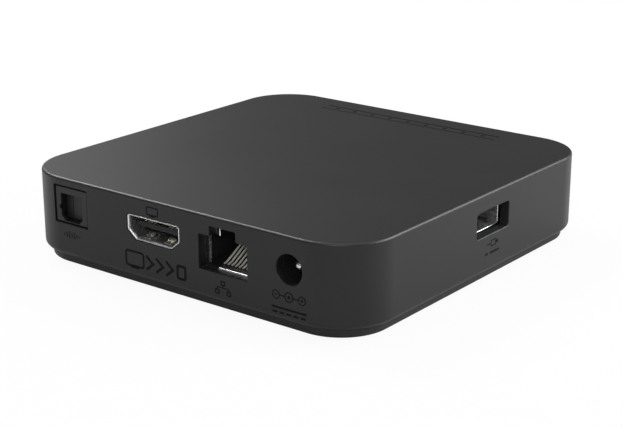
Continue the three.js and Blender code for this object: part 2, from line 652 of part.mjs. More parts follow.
// Two rows of contacts, carried by one frame around the root of the tongue.
function videoContacts() {
  const half = VIDEO_TONGUE_WIDTH / 2 + SEAT_GAP;
  const under = VIDEO_LIFT + VIDEO_TONGUE_LIFT - SEAT_GAP;
  const over = under + VIDEO_TONGUE_HEIGHT + 2 * SEAT_GAP;
  const root = VIDEO_ROOT + SEAT_GAP;
  const carrierFront = root + 2 * CONTACT_SHEET;
  const carrier = block(-half - CONTACT_SHEET, half + CONTACT_SHEET, root, carrierFront,
    under - CONTACT_SHEET, over + CONTACT_SHEET)
    .subtract(block(-half, half, root - 1, carrierFront + 1, under, over));
  const tip = -VIDEO_TONGUE_RECESS - CONTACT_SHEET;
  const finger = (x, z0) => block(x - VIDEO_CONTACT_WIDTH / 2, x + VIDEO_CONTACT_WIDTH / 2, root, tip,
    z0, z0 + CONTACT_SHEET);
  return union([
    carrier,
    ...evenly(VIDEO_UPPER_CONTACTS, VIDEO_CONTACT_PITCH).map((x) => finger(x, over)),
    ...evenly(VIDEO_LOWER_CONTACTS, VIDEO_CONTACT_PITCH).map((x) => finger(x, under - CONTACT_SHEET)),
  ]);
}

function videoPieces() {
  return gather(videoFrame, [
    piece('video_port_shell', videoShell(), steel),
    piece('video_port_insulator', videoInsulator(), blackPlastic),
    piece('video_port_contacts', videoContacts(), gold),
  ]);
}

// ---------------------------------------------------------------- network jack

const NETWORK_FRONT = -SIDE_WALL - SEAT_GAP;
const NETWORK_FLOOR = -NETWORK_SILL_DROP;
const NETWORK_ROOF = NETWORK_FLOOR + NETWORK_CAVITY_HEIGHT;

// The plug's outline: a wide body with a narrower channel for its latch above.
function networkOutline(margin, lip) {
  const side = NETWORK_CAVITY_WIDTH / 2 + margin;
  const latch = NETWORK_LATCH_WIDTH / 2 + margin / 2;
  const top = NETWORK_ROOF + NETWORK_LATCH_HEIGHT + lip;
  return polygon([[-side, NETWORK_FLOOR - lip], [side, NETWORK_FLOOR - lip], [side, NETWORK_ROOF + lip],
    [latch, NETWORK_ROOF + lip], [latch, top], [-latch, top], [-latch, NETWORK_ROOF + lip],
    [-side, NETWORK_ROOF + lip]]);
}

function networkOpening() {
  return networkOutline(NETWORK_OPENING_MARGIN, NETWORK_OPENING_LIP);
}

function networkShield() {
  const side = NETWORK_WIDTH / 2;
  const back = NETWORK_FRONT - NETWORK_DEPTH;
  const outside = block(-side, side, back, NETWORK_FRONT, -NETWORK_SINK, NETWORK_ROOF_LIFT);
  const inside = block(-side + NETWORK_SHEET, side - NETWORK_SHEET, back + NETWORK_SHEET,
    NETWORK_FRONT - NETWORK_SHEET, -NETWORK_SINK - 1, NETWORK_ROOF_LIFT - NETWORK_SHEET);
  const mouth = tunnel(networkOutline(0, 0), NETWORK_FRONT - 1, 1);
  const tabTop = NETWORK_ROOF + NETWORK_LATCH_HEIGHT + SEAT_GAP;
  const tab = block(-1, 1, NETWORK_FRONT - NETWORK_SHEET, NETWORK_FRONT, tabTop - 1, tabTop);
  const ears = legs(side - NETWORK_SHEET / 2, NETWORK_SHEET, NETWORK_DEPTH, 0);
  return outside.subtract(inside).subtract(mouth).add(tab).add(ears);
}

function networkHousing() {
  const clear = NETWORK_SHEET + SEAT_GAP;
  const side = NETWORK_WIDTH / 2 - clear;
  const front = NETWORK_FRONT - clear;
  const body = block(-side, side, NETWORK_FRONT - NETWORK_DEPTH + clear, front, -NETWORK_SINK,
    NETWORK_ROOF_LIFT - clear);
  return body.subtract(tunnel(networkOutline(0, 0), NETWORK_FRONT - NETWORK_CAVITY_DEPTH, 1));
}

// Spring contacts that rise from the cavity's floor towards its back, carried by one bar there.
function networkContacts() {
  const sheet = NETWORK_CONTACT_SHEET;
  const low = NETWORK_FLOOR + SEAT_GAP;
  const high = NETWORK_FLOOR + NETWORK_CAVITY_HEIGHT * 0.55;
  const front = NETWORK_FRONT - 2.4;
  const back = NETWORK_FRONT - NETWORK_CAVITY_DEPTH + SEAT_GAP;
  const bend = back + 1.6;
  const side = polygon([[front, low], [front, low + sheet], [front - 1, low + sheet],
    [bend, high + sheet], [back, high + sheet], [back, high], [bend + sheet / 2, high],
    [front - 1 + sheet / 2, low]]);
  const half = NETWORK_CONTACT_WIDTH / 2;
  const row = evenly(NETWORK_CONTACTS, NETWORK_CONTACT_PITCH);
  const end = row[row.length - 1] + half;
  const bar = block(-end, end, back, back + 2 * sheet, high, high + sheet);
  return union([bar, ...row.map((x) => strip(side, x - half, x + half))]);
}

function networkPieces() {
  return gather(networkFrame, [
    piece('network_jack_shield', networkShield(), steel),
    piece('network_jack_housing', networkHousing(), blackPlastic),
    piece('network_jack_contacts', networkContacts(), gold),
  ]);
}

// ---------------------------------------------------------------- power jack

const POWER_FRONT = -SIDE_WALL - FIT_GAP; // clear of the wall, which starts to round the corner here
const POWER_BACK = POWER_FRONT - POWER_DEPTH;

function powerOpening() {
  return new THREE.Shape().absarc(0, POWER_AXIS_LIFT, POWER_BORE_RADIUS, 0, 2 * Math.PI);
}

// A leaf under the bore: its middle rises into the bore to press on the plug.
function powerLeaf(grow) {
  const under = POWER_AXIS_LIFT - POWER_BORE_RADIUS - 0.7 - grow;
  const rise = POWER_AXIS_LIFT - POWER_BORE_RADIUS + 0.4;
  const sheet = POWER_SPRING_SHEET;
  const front = POWER_FRONT - 2.5 + grow;
  const back = POWER_BACK + 1.2 - grow;
  if (grow > 0) {
    return strip(rectangle(back, front, under, POWER_AXIS_LIFT),
      -POWER_SPRING_WIDTH / 2 - grow, POWER_SPRING_WIDTH / 2 + grow);
  }
  const outline = polygon([[back, under], [front - 4, under], [front - 2, rise], [front, under],
    [front, under + sheet], [front - 2, rise + sheet], [front - 4, under + sheet],
    [back, under + sheet]]);
  return strip(outline, -POWER_SPRING_WIDTH / 2, POWER_SPRING_WIDTH / 2);
}

function powerHousing() {
  const side = POWER_WIDTH / 2;
  const body = block(-side, side, POWER_BACK, POWER_FRONT, -POWER_SINK, POWER_AXIS_LIFT + POWER_TOP_WALL);
  const bore = rodY(POWER_BORE_RADIUS, 0, POWER_FRONT - POWER_BORE_DEPTH, 1, POWER_AXIS_LIFT,
    2 * ROUND_STEPS);
  const pinBore = rodY(POWER_PIN_RADIUS + FIT_GAP, 0, POWER_BACK - 1, 0, POWER_AXIS_LIFT);
  return cut(body, [bore, pinBore, powerLeaf(FIT_GAP)]);
}

function powerPin() {
  const tip = POWER_FRONT - FIT_GAP;
  const profile = [[0, -POWER_PIN_LENGTH], [POWER_PIN_RADIUS, -POWER_PIN_LENGTH],
    [POWER_PIN_RADIUS, -POWER_PIN_RADIUS], [POWER_PIN_RADIUS * 0.6, -POWER_PIN_RADIUS * 0.3], [0, 0]];
  return solid(geometryOf(turned(profile)).rotateX(-Math.PI / 2).translate(0, tip, POWER_AXIS_LIFT));
}

function powerPieces() {
  return gather(powerFrame, [
    piece('power_jack_housing', powerHousing(), blackPlastic),
    piece('power_jack_pin', powerPin(), steel),
    piece('power_jack_spring', powerLeaf(0), steel),
  ]);
}

// ---------------------------------------------------------------- accessory port

const ACCESSORY_FRONT = -SIDE_WALL - ACCESSORY_SETBACK;
const ACCESSORY_BACK = ACCESSORY_FRONT - ACCESSORY_DEPTH;
const ACCESSORY_ROOT = ACCESSORY_BACK + 2.5;

function accessoryOutline(inset) {
  return roundedRectangle(ACCESSORY_WIDTH - 2 * inset, ACCESSORY_HEIGHT - 2 * inset,
    ACCESSORY_CORNER_RADIUS - inset, 0, ACCESSORY_LIFT + ACCESSORY_HEIGHT / 2);
}

function accessoryLegs(gap) {
  const halfWidth = (ACCESSORY_WIDTH - ACCESSORY_SHEET) / 2;
  const lift = ACCESSORY_LIFT + 2 * ACCESSORY_CORNER_RADIUS;
  return legs(halfWidth, ACCESSORY_SHEET, -ACCESSORY_BACK, lift, gap);
}

function accessoryShell() {
  const tube = tunnel(accessoryOutline(0), ACCESSORY_BACK, ACCESSORY_FRONT)
    .subtract(tunnel(accessoryOutline(ACCESSORY_SHEET), ACCESSORY_BACK - 1, 1));
  return tube.add(accessoryLegs(0));
}

function accessoryTongueFloor() {
  return ACCESSORY_LIFT + ACCESSORY_HEIGHT / 2 + 0.1;
}

function accessoryInsulator() {
  const plug = tunnel(accessoryOutline(ACCESSORY_SHEET + FIT_GAP), ACCESSORY_BACK, ACCESSORY_ROOT);
  const half = ACCESSORY_TONGUE_WIDTH / 2;
  const z = accessoryTongueFloor();
  return plug.add(block(-half, half, ACCESSORY_ROOT - SEAT_GAP, ACCESSORY_FRONT - ACCESSORY_TONGUE_SETBACK,
    z, z + ACCESSORY_TONGUE_HEIGHT));
}

function accessoryContacts() {
  const row = evenly(ACCESSORY_CONTACTS, ACCESSORY_CONTACT_PITCH);
  const half = ACCESSORY_CONTACT_WIDTH / 2;
  const top = accessoryTongueFloor() - SEAT_GAP;
  const end = row[row.length - 1] + half;
  const root = ACCESSORY_ROOT + FIT_GAP;
  const tip = ACCESSORY_FRONT - 2 * ACCESSORY_TONGUE_SETBACK;
  const bar = block(-end, end, root, root + 0.8, top - CONTACT_SHEET, top);
  return union([bar, ...row.map((x) => block(x - half, x + half, root, tip, top - CONTACT_SHEET, top))]);
}

function accessoryPieces() {
  return gather(accessoryFrame, [
    piece('accessory_port_shell', accessoryShell(), steel),
    piece('accessory_port_insulator', accessoryInsulator(), blackPlastic),
    piece('accessory_port_contacts', accessoryContacts(), gold),
  ]);
}

// ---------------------------------------------------------------- optical port

const CHAMBER_WIDTH = SHUTTER_WIDTH + 2 * FIT_GAP;
const PIVOT_Z = SOCKET_LIFT + SOCKET_HEIGHT + KNUCKLE_RADIUS - PIVOT_GAP;
const CHAMBER_ROOF = PIVOT_Z + KNUCKLE_RADIUS + PIVOT_GAP;
const PIVOT_Y = -OPTICAL_RECESS - OPTICAL_FRAME - PIVOT_GAP - KNUCKLE_RADIUS;
const SPRING_COIL_RADIUS = HINGE_PIN_RADIUS + PIVOT_GAP + SPRING_WIRE_RADIUS;
const SPRING_PITCH = 3 * SPRING_WIRE_RADIUS;
const SPRING_LEG_X = SPRING_PITCH * (SPRING_TURNS / 2 + 1);

function opticalOpening() {
  const half = OPTICAL_OPENING_WIDTH / 2;
  const top = OPTICAL_OPENING_LIFT + OPTICAL_OPENING_HEIGHT;
  return rectangle(-half, half, OPTICAL_OPENING_LIFT, top);
}

// The window that a plug fits: its lower corners are cut off, and one side has a key notch.
function socketOutline() {
  const half = SOCKET_WIDTH / 2;
  const floor = SOCKET_LIFT;
  const roof = SOCKET_LIFT + SOCKET_HEIGHT;
  const middle = (floor + roof) / 2;
  return polygon([[-half + SOCKET_CHAMFER, floor], [half - SOCKET_CHAMFER, floor],
    [half, floor + SOCKET_CHAMFER], [half, middle - SOCKET_KEY], [half + SOCKET_KEY, middle - SOCKET_KEY],
    [half + SOCKET_KEY, middle + SOCKET_KEY], [half, middle + SOCKET_KEY], [half, roof],
    [-half, roof], [-half, floor + SOCKET_CHAMFER]]);
}

function opticalHousing() {
  const half = OPTICAL_OPENING_WIDTH / 2 - OPTICAL_MARGIN;
  const floor = OPTICAL_OPENING_LIFT + OPTICAL_MARGIN;
  const roof = OPTICAL_OPENING_LIFT + OPTICAL_OPENING_HEIGHT - OPTICAL_MARGIN;
  const back = -OPTICAL_DEPTH;
  const nose = block(-half, half, -SIDE_WALL - 1, -OPTICAL_RECESS, floor, roof);
  const body = block(-half, half, back, -SIDE_WALL - FIT_GAP, PART_SEAT, roof);
  const chamberFront = -OPTICAL_RECESS - OPTICAL_FRAME;
  const chamber = block(-CHAMBER_WIDTH / 2, CHAMBER_WIDTH / 2, SOCKET_BACK, chamberFront, SOCKET_LIFT,
    CHAMBER_ROOF);
  const middle = SOCKET_LIFT + SOCKET_HEIGHT / 2;
  const pinHole = HINGE_PIN_RADIUS + PIVOT_GAP;
  const emitterHalf = EMITTER_WIDTH / 2 + FIT_GAP;
  return cut(nose.add(body), [
    chamber,
    tunnel(socketOutline(), chamberFront - SEAT_GAP, 1),
    rodX(pinHole, -half - 1, half - FIT_GAP, PIVOT_Y, PIVOT_Z),
    rodY(EMITTER_LENS_RADIUS + FIT_GAP, 0, back, SOCKET_BACK + 1, middle),
    block(-emitterHalf, emitterHalf, back - 1, back + EMITTER_DEPTH + 2 * FIT_GAP,
      middle - emitterHalf, middle + emitterHalf),
  ]);
}

// The shutter hangs behind its pivot, so it swings in and up under the chamber's roof.
function opticalShutter() {
  const half = SHUTTER_WIDTH / 2;
  const front = -PIVOT_GAP;
  const top = -KNUCKLE_RADIUS - PIVOT_GAP;
  const bottom = SOCKET_LIFT + PIVOT_GAP - PIVOT_Z;
  const plate = block(-half, half, front - SHUTTER_SHEET, front, bottom, top);
  const arm = (x0, x1) => block(x0, x1, front - SHUTTER_SHEET, front, top - SEAT_GAP, 0)
    .add(rodX(KNUCKLE_RADIUS, x0, x1, 0, 0));
  const whole = union([plate, arm(-half, -half + KNUCKLE_LENGTH), arm(half - KNUCKLE_LENGTH, half)]);
  const grooveHalf = SPRING_WIRE_RADIUS + PIVOT_GAP;
  const back = front - SHUTTER_SHEET;
  return cut(whole, [
    rodX(HINGE_PIN_RADIUS + PIVOT_GAP, -CASE_WIDTH, CASE_WIDTH, 0, 0),
    block(SPRING_LEG_X - grooveHalf, SPRING_LEG_X + grooveHalf, back - 1, back + SPRING_GROOVE,
      -SPRING_COIL_RADIUS - SPRING_LEG - grooveHalf, top + 1),
  ]);
}

function hingePin() {
  const end = OPTICAL_OPENING_WIDTH / 2 - OPTICAL_MARGIN - 2 * FIT_GAP;
  return rodX(HINGE_PIN_RADIUS, -end, end, 0, 0, 8);
}

// A torsion spring: turns around the pin, then a leg down the groove in the shutter's back.
function shutterSpring() {
  const coil = SPRING_COIL_RADIUS;
  const legY = -PIVOT_GAP - SHUTTER_SHEET + SPRING_GROOVE - SPRING_WIRE_RADIUS - SEAT_GAP;
  const perTurn = 8;
  const points = [];
  for (let step = 0; step <= SPRING_TURNS * perTurn; step += 1) {
    const angle = Math.PI / 2 + (2 * Math.PI * step) / perTurn;
    const x = SPRING_PITCH * (step / perTurn - SPRING_TURNS / 2);
    points.push(new THREE.Vector3(x, coil * Math.cos(angle), coil * Math.sin(angle)));
  }
  points.push(new THREE.Vector3(SPRING_LEG_X, legY, -coil));
  points.push(new THREE.Vector3(SPRING_LEG_X, legY, -coil - SPRING_LEG));
  return wire(points, SPRING_WIRE_RADIUS, SPRING_TURNS * perTurn + 12, 3);
}

function opticalEmitter() {
  const middle = SOCKET_LIFT + SOCKET_HEIGHT / 2;
  const half = EMITTER_WIDTH / 2;
  const front = -OPTICAL_DEPTH + EMITTER_DEPTH;
  const body = block(-half, half, -OPTICAL_DEPTH, front, middle - half, middle + half);
  return body.add(rodY(EMITTER_LENS_RADIUS, 0, front - SEAT_GAP, SOCKET_BACK - FIT_GAP, middle));
}

function opticalPieces() {
  const pivot = [0, PIVOT_Y, PIVOT_Z];
  return gather(opticalFrame, [
    piece('optical_port_housing', opticalHousing(), blackPlastic),
    piece('optical_port_shutter', opticalShutter(), blackPlastic, pivot),
    piece('shutter_hinge_pin', hingePin(), steel, pivot),
    piece('shutter_spring', shutterSpring(), steel, pivot),
    piece('optical_emitter', opticalEmitter(), clearPlastic),
  ]);
}

// ---------------------------------------------------------------- circuit board

const MODULE_X = -HALF_WIDTH + BOARD_INSET + MODULE_INSET;
const MODULE_Y = -HALF_DEPTH + MODULE_INSET;

function mainBoard() {
  const postClear = POST_RADIUS + POST_TO_BOARD;
  const reach = CASE_SCREW_INSET + POST_RADIUS;
  const notch = ([x, y]) => rodZ(postClear, x, y, 0, CASE_TOP)
    .add(block(x < 0 ? x - reach : x, x < 0 ? x : x + reach, y - postClear, y + postClear, 0, CASE_TOP));
  const below = -BOARD_THICKNESS - 1;
  const sunk = (width, back) => (
    block(-width / 2 - FIT_GAP, width / 2 + FIT_GAP, back - FIT_GAP, 0, below, 1));
  return cut(slab(caseOutline(BOARD_INSET), BOARD_BOTTOM, BOARD_TOP), [
    ...CASE_SCREWS.map(notch),
    ...BOARD_SCREWS.map(([x, y]) => rodZ(BOARD_SCREW_RADIUS + FIT_GAP, x, y, 0, CASE_TOP, 8)),
    moved(sunk(NETWORK_WIDTH, NETWORK_FRONT - NETWORK_DEPTH), networkFrame),
    moved(sunk(POWER_WIDTH, POWER_BACK), powerFrame),
    moved(videoLegs(FIT_GAP), videoFrame),
    moved(accessoryLegs(FIT_GAP), accessoryFrame),
  ]);
}

function heatSink(z) {
  const [width, depth, base] = HEAT_SINK;
  const fins = evenly(HEAT_SINK_FINS, (width - HEAT_SINK_FIN_SHEET) / (HEAT_SINK_FINS - 1));
  const fin = [HEAT_SINK_FIN_SHEET, depth, base + HEAT_SINK_FIN_HEIGHT];
  return union([brick(HEAT_SINK, 0, 0, z), ...fins.map((x) => brick(fin, x, 0, z))]);
}

function capacitor() {
  const can = CAPACITOR_RADIUS;
  const profile = [[0, 0], [can, 0], [can, CAPACITOR_HEIGHT - 0.3], [can - 0.3, CAPACITOR_HEIGHT],
    [0, CAPACITOR_HEIGHT]];
  return turned(profile).add(brick([2 * can, 2 * can, CAPACITOR_BASE], 0, 0, 0));
}

function boardPieces() {
  const seat = BOARD_TOP + PART_SEAT;
  const boardSide = HALF_WIDTH - BOARD_INSET;
  const onBoard = (name, size, x, y, look = chipBlack) => (
    piece(name, brick(size, 0, 0, 0), look, [x, y, seat]));
  const boardScrew = screw(BOARD_SCREW_RADIUS, BOARD_SCREW_HEAD_RADIUS, BOARD_SCREW_HEAD_HEIGHT,
    BOARD_SCREW_LENGTH);
  const [middleX, middleY] = PROCESSOR_MIDDLE;
  const padSeat = seat + PROCESSOR[2] + SEAT_GAP;
  const sinkSeat = padSeat + THERMAL_PAD[2] + SEAT_GAP;
  const memoryX = middleX + HEAT_SINK[0] / 2 + MEMORY_CHIP[0] / 2 + 1;
  const storageY = middleY - HEAT_SINK[1] / 2 - STORAGE_CHIP[1] / 2 - 2;
  const networkBack = HALF_DEPTH + NETWORK_FRONT - NETWORK_DEPTH;
  return gather(new THREE.Group(), [
    piece('main_board', mainBoard(), boardGreen),
    ...BOARD_SCREWS.map(([x, y], index) => (
      piece(`board_screw_${index + 1}`, boardScrew, steel, [x, y, seat]))),
    onBoard('processor_chip', PROCESSOR, middleX, middleY),
    piece('thermal_pad', brick(THERMAL_PAD, 0, 0, 0), padGrey, [middleX, middleY, padSeat]),
    piece('heat_sink', heatSink(0), aluminium, [middleX, middleY, sinkSeat]),
    onBoard('memory_chip_1', MEMORY_CHIP, memoryX, middleY + MEMORY_CHIP[1]),
    onBoard('memory_chip_2', MEMORY_CHIP, memoryX, middleY - MEMORY_CHIP[1]),
    onBoard('storage_chip', STORAGE_CHIP, middleX, storageY),
    onBoard('power_chip', POWER_CHIP, NETWORK_X - (TRANSFORMER[0] + POWER_CHIP[0]) / 2 - 1,
      networkBack - POWER_CHIP[1] - 3),
    onBoard('wireless_module', WIRELESS_MODULE, MODULE_X, MODULE_Y, steel),
    onBoard('network_transformer', TRANSFORMER, NETWORK_X, networkBack - TRANSFORMER[1] / 2 - 2),
    onBoard('power_inductor_1', INDUCTOR, -boardSide + 15, networkBack - INDUCTOR[1] * 2 - 1),
    onBoard('power_inductor_2', INDUCTOR, -boardSide + 24, networkBack - INDUCTOR[1] * 2 - 4),
    piece('electrolytic_capacitor_1', capacitor(), aluminium,
      [-boardSide + 5, networkBack - 5.5 * CAPACITOR_RADIUS, seat]),
    piece('electrolytic_capacitor_2', capacitor(), aluminium,
      [-boardSide + 7, ACCESSORY_OFFSET - ACCESSORY_WIDTH / 2 - 2 * CAPACITOR_RADIUS, seat]),
    onBoard('clock_crystal', CRYSTAL, middleX - HEAT_SINK[0] / 2 - CRYSTAL[0],
      middleY - HEAT_SINK[1] / 2, steel),
  ]);
}

// ---------------------------------------------------------------- reset switch, under the board

function resetPieces() {
  const top = BOARD_BOTTOM - SEAT_GAP;
  const bottom = top - RESET_SWITCH_HEIGHT;
  const well = bottom + RESET_PLUNGER_LENGTH - RESET_PLUNGER_PROUD + FIT_GAP;
  const place = [...RESET_OFFSET, 0];
  const size = [RESET_SWITCH_WIDTH, RESET_SWITCH_WIDTH, RESET_SWITCH_HEIGHT];
  const body = brick(size, 0, 0, bottom)
    .subtract(rodZ(RESET_PLUNGER_RADIUS + FIT_GAP, 0, 0, 0, well));
  const low = bottom - RESET_PLUNGER_PROUD;
  const plunger = turned([[0, low], [RESET_PLUNGER_RADIUS - 0.2, low], [RESET_PLUNGER_RADIUS, low + 0.2],
    [RESET_PLUNGER_RADIUS, low + RESET_PLUNGER_LENGTH], [0, low + RESET_PLUNGER_LENGTH]]);
  return gather(new THREE.Group(), [
    piece('reset_switch_body', body, blackPlastic, place),
    piece('reset_switch_plunger', plunger, rubber, place),
  ]);
}

// ---------------------------------------------------------------- aerials and their leads

function aerialPieces() {
  const moduleTop = BOARD_TOP + PART_SEAT + WIRELESS_MODULE[2] + SEAT_GAP;
  const aerialZ = BOARD_TOP + 0.6;
  const leadZ = moduleTop + LEAD_PLUG_HEIGHT / 2;
  const frontX = -(WINDOW_WIDTH / 2 + WINDOW_FLANGE + AERIAL_LENGTH / 2 + 2);
  const frontY = -HALF_DEPTH + SIDE_WALL + FIT_GAP + AERIAL_SHEET / 2;
  const sideX = HALF_WIDTH - SIDE_WALL - FIT_GAP - AERIAL_SHEET / 2;
  const plugY = MODULE_Y - WIRELESS_MODULE[1] / 2 + 2;
  const lead = (startX, route) => {
    const start = new THREE.Vector3(startX, plugY, leadZ);
    const plug = rodZ(LEAD_PLUG_RADIUS, startX, plugY, moduleTop, moduleTop + LEAD_PLUG_HEIGHT);
    const points = [start, ...route.map(([x, y]) => new THREE.Vector3(x, y, leadZ))];
    return wire(points, LEAD_RADIUS, 6 * route.length, 3).add(plug);
  };
  const stop = AERIAL_SHEET / 2 + FIT_GAP;
  const frontRoute = [[MODULE_X - 4, plugY - 6], [frontX, frontY + stop + 3], [frontX, frontY + stop]];
  const sideRoute = [[MODULE_X + 5, plugY - 5], [0, -HALF_DEPTH + 14], [HALF_WIDTH - 30, -HALF_DEPTH + 13],
    [HALF_WIDTH - 17, -HALF_DEPTH + 17], [HALF_WIDTH - 11, -HALF_DEPTH + 29], [sideX - stop - 3, -6],
    [sideX - stop, -6]];
  return gather(new THREE.Group(), [
    piece('wireless_aerial_1', brick([AERIAL_LENGTH, AERIAL_SHEET, AERIAL_HEIGHT], frontX, frontY, aerialZ),
      boardGreen),
    piece('wireless_aerial_2', brick([AERIAL_SHEET, AERIAL_LENGTH, AERIAL_HEIGHT], sideX, -6, aerialZ),
      boardGreen),
    piece('aerial_lead_1', lead(MODULE_X - 3.5, frontRoute), blackPlastic),
    piece('aerial_lead_2', lead(MODULE_X + 3.5, sideRoute), blackPlastic),
  ]);
}

// ---------------------------------------------------------------- the whole player

const player = new THREE.Group();
player.add(
  casePieces(),
  frontPieces(),
  videoPieces(),
  networkPieces(),
  powerPieces(),
  accessoryPieces(),
  opticalPieces(),
  boardPieces(),
  resetPieces(),
  aerialPieces(),
);

export default player;
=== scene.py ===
"""Streaming media player: the finished looks of a low, square television box.

Lengths are in millimetres and are scaled to metres as each mesh is made. X runs along the port
row, Y comes out of the rear wall that holds it, and Z is up. The accessory port is in the -X wall
and the front window in the -Y wall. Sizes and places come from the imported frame's boxes.
"""
import math

import bmesh
import bpy
from mathutils import Matrix, Vector


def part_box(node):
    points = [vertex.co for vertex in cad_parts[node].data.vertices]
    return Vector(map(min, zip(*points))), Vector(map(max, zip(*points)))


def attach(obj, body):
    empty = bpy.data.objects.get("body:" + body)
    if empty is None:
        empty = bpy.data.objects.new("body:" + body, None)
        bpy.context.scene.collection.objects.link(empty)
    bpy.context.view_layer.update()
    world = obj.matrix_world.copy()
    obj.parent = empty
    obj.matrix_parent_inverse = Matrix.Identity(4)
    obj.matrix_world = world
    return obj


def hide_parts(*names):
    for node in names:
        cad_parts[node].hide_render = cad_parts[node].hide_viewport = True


MM = 0.001
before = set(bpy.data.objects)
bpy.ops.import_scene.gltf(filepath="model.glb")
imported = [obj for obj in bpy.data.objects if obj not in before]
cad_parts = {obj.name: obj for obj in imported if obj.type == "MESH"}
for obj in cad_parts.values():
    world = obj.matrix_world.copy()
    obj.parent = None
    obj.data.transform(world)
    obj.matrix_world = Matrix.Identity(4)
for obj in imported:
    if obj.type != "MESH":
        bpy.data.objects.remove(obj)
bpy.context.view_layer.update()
scene = bpy.context.scene


def extent(node):
    """Lowest and highest corner of a CAD node, in millimetres."""
    low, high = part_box(node)
    return low / MM, high / MM


def numbered(node, count=4):
    return [f"{node}_{i}" for i in range(1, count + 1)]


# ------------------------------------------------------------------ sizes
COVER_LOW, COVER_HIGH = extent("top_cover")
BOARD_LOW, BOARD_HIGH = extent("main_board")
HALF_WIDTH, HALF_DEPTH = COVER_HIGH.x, COVER_HIGH.y
TOP = COVER_HIGH.z
BASE = extent("bottom_cover")[0].z
BOARD_TOP = BOARD_HIGH.z
BOARD_BOTTOM = BOARD_LOW.z
CORNER_RADIUS = 13.1
SIDE_WALL = 2.2
TOP_WALL = 1.6
FLOOR_WALL = 2.0
TOP_EDGE_ROUND = 0.6
WALL_FOOT_ROUND = 1.5
PLINTH_EDGE_ROUND = 0.6
RIM_HEIGHT = 2.6
RIM_WALL = 1.2
FIT_GAP = 0.3
SEAT_GAP = 0.1
CEILING = TOP - TOP_WALL
FLOOR = BASE + FLOOR_WALL
MOUTH_ROUND = 0.22  # the small round on the edge of each opening
PRINT_PROUD = 0.02  # how far printed marks stand out of a surface
PRINT_ROOT = 0.03  # and how far they reach into it
CORNER_SHARE = 1.6  # a block's upright corners are rounder than its other edges by this share


# ------------------------------------------------------------------ outlines
def arc(u, v, radius, start, end, steps):
    """Points of an arc, in degrees, both ends included."""
    angles = [math.radians(start + (end - start) * i / steps) for i in range(steps + 1)]
    return [(u + radius * math.cos(a), v + radius * math.sin(a)) for a in angles]


def circle(radius, u=0.0, v=0.0, steps=48):
    return arc(u, v, radius, 0, 360, steps)[:-1]


def rounded(width, height, radius, u=0.0, v=0.0, steps=6):
    """A rectangle with round corners, its middle at u, v."""
    across, up = width / 2 - radius, height / 2 - radius
    return (arc(u + across, v + up, radius, 0, 90, steps)
            + arc(u - across, v + up, radius, 90, 180, steps)
            + arc(u - across, v - up, radius, 180, 270, steps)
            + arc(u + across, v - up, radius, 270, 360, steps))


def softened(corners, radius, steps=4):
    """A polygon with each corner rounded, or left alone where an edge is too short for it."""
    points = []
    count = len(corners)
    for i in range(count):
        here = Vector(corners[i])
        back = Vector(corners[i - 1]) - here
        ahead = Vector(corners[(i + 1) % count]) - here
        half = back.angle(ahead) / 2
        reach = min(radius / math.tan(half), 0.45 * back.length, 0.45 * ahead.length)
        start = here + back.normalized() * reach
        end = here + ahead.normalized() * reach
        for step in range(steps + 1):
            t = step / steps
            point = start * (1 - t) ** 2 + here * 2 * t * (1 - t) + end * t * t
            points.append((point.x, point.y))
    return points


def offset(outline, grow):
    """An anticlockwise outline moved outwards by grow."""
    moved = []
    count = len(outline)
    for i in range(count):
        here = Vector(outline[i])
        before = (here - Vector(outline[i - 1])).normalized()
        after = (Vector(outline[(i + 1) % count]) - here).normalized()
        normal_a = Vector((before.y, -before.x))
        normal_b = Vector((after.y, -after.x))
        shift = (normal_a + normal_b) * grow / (1 + normal_a.dot(normal_b))
        moved.append((here.x + shift.x, here.y + shift.y))
    return moved


# ------------------------------------------------------------------ meshes
def link(obj):
    scene.collection.objects.link(obj)
    return obj


def clean(mesh):
    """Merges doubled points, drops slivers and points every face outwards."""
    work = bmesh.new()
    work.from_mesh(mesh)
    bmesh.ops.remove_doubles(work, verts=work.verts, dist=1e-3 * MM)
    bmesh.ops.dissolve_degenerate(work, edges=work.edges, dist=1e-3 * MM)
    bmesh.ops.recalc_face_normals(work, faces=work.faces)
    work.to_mesh(mesh)
    work.free()


def body(name, points, faces):
    mesh = bpy.data.meshes.new(name)
    mesh.from_pydata([Vector(point) * MM for point in points], [], faces)
    clean(mesh)
    return link(bpy.data.objects.new(name, mesh))


def lofted(name, rings, joined=False):
    """A closed body through rings of equally many points: capped at both ends, or end to end."""
    count = len(rings[0])
    points = [point for ring in rings for point in ring]
    faces = []
    for i in range(len(rings) if joined else len(rings) - 1):
        a = i * count
        b = (i + 1) % len(rings) * count
        for j in range(count):
            k = (j + 1) % count
            faces.append((a + j, a + k, b + k, b + j))
    if not joined:
        faces.append(tuple(range(count)))
        faces.append(tuple(range(len(points) - count, len(points))))
    return body(name, points, faces)


def on_rear(u, v, depth):
    return Vector((u, HALF_DEPTH - depth, v))


def on_side(u, v, depth):
    return Vector((-HALF_WIDTH + depth, u, v))


def on_front(u, v, depth):
    return Vector((u, -HALF_DEPTH + depth, v))


def on_top(u, v, depth):
    return Vector((u, v, TOP - depth))


def flat(u, v, height):
    return Vector((u, v, height))


def behind(place, setback):
    """A face set back from another one."""
    return lambda u, v, depth: place(u, v, depth + setback)


def ring(outline, place, depth):
    return [place(u, v, depth) for u, v in outline]


def sunk(name, outline, place, levels, joined=False):
    """An outline carried through (depth, growth) levels below or beyond a face."""
    rings = [ring(offset(outline, grow), place, depth) for depth, grow in levels]
    return lofted(name, rings, joined)


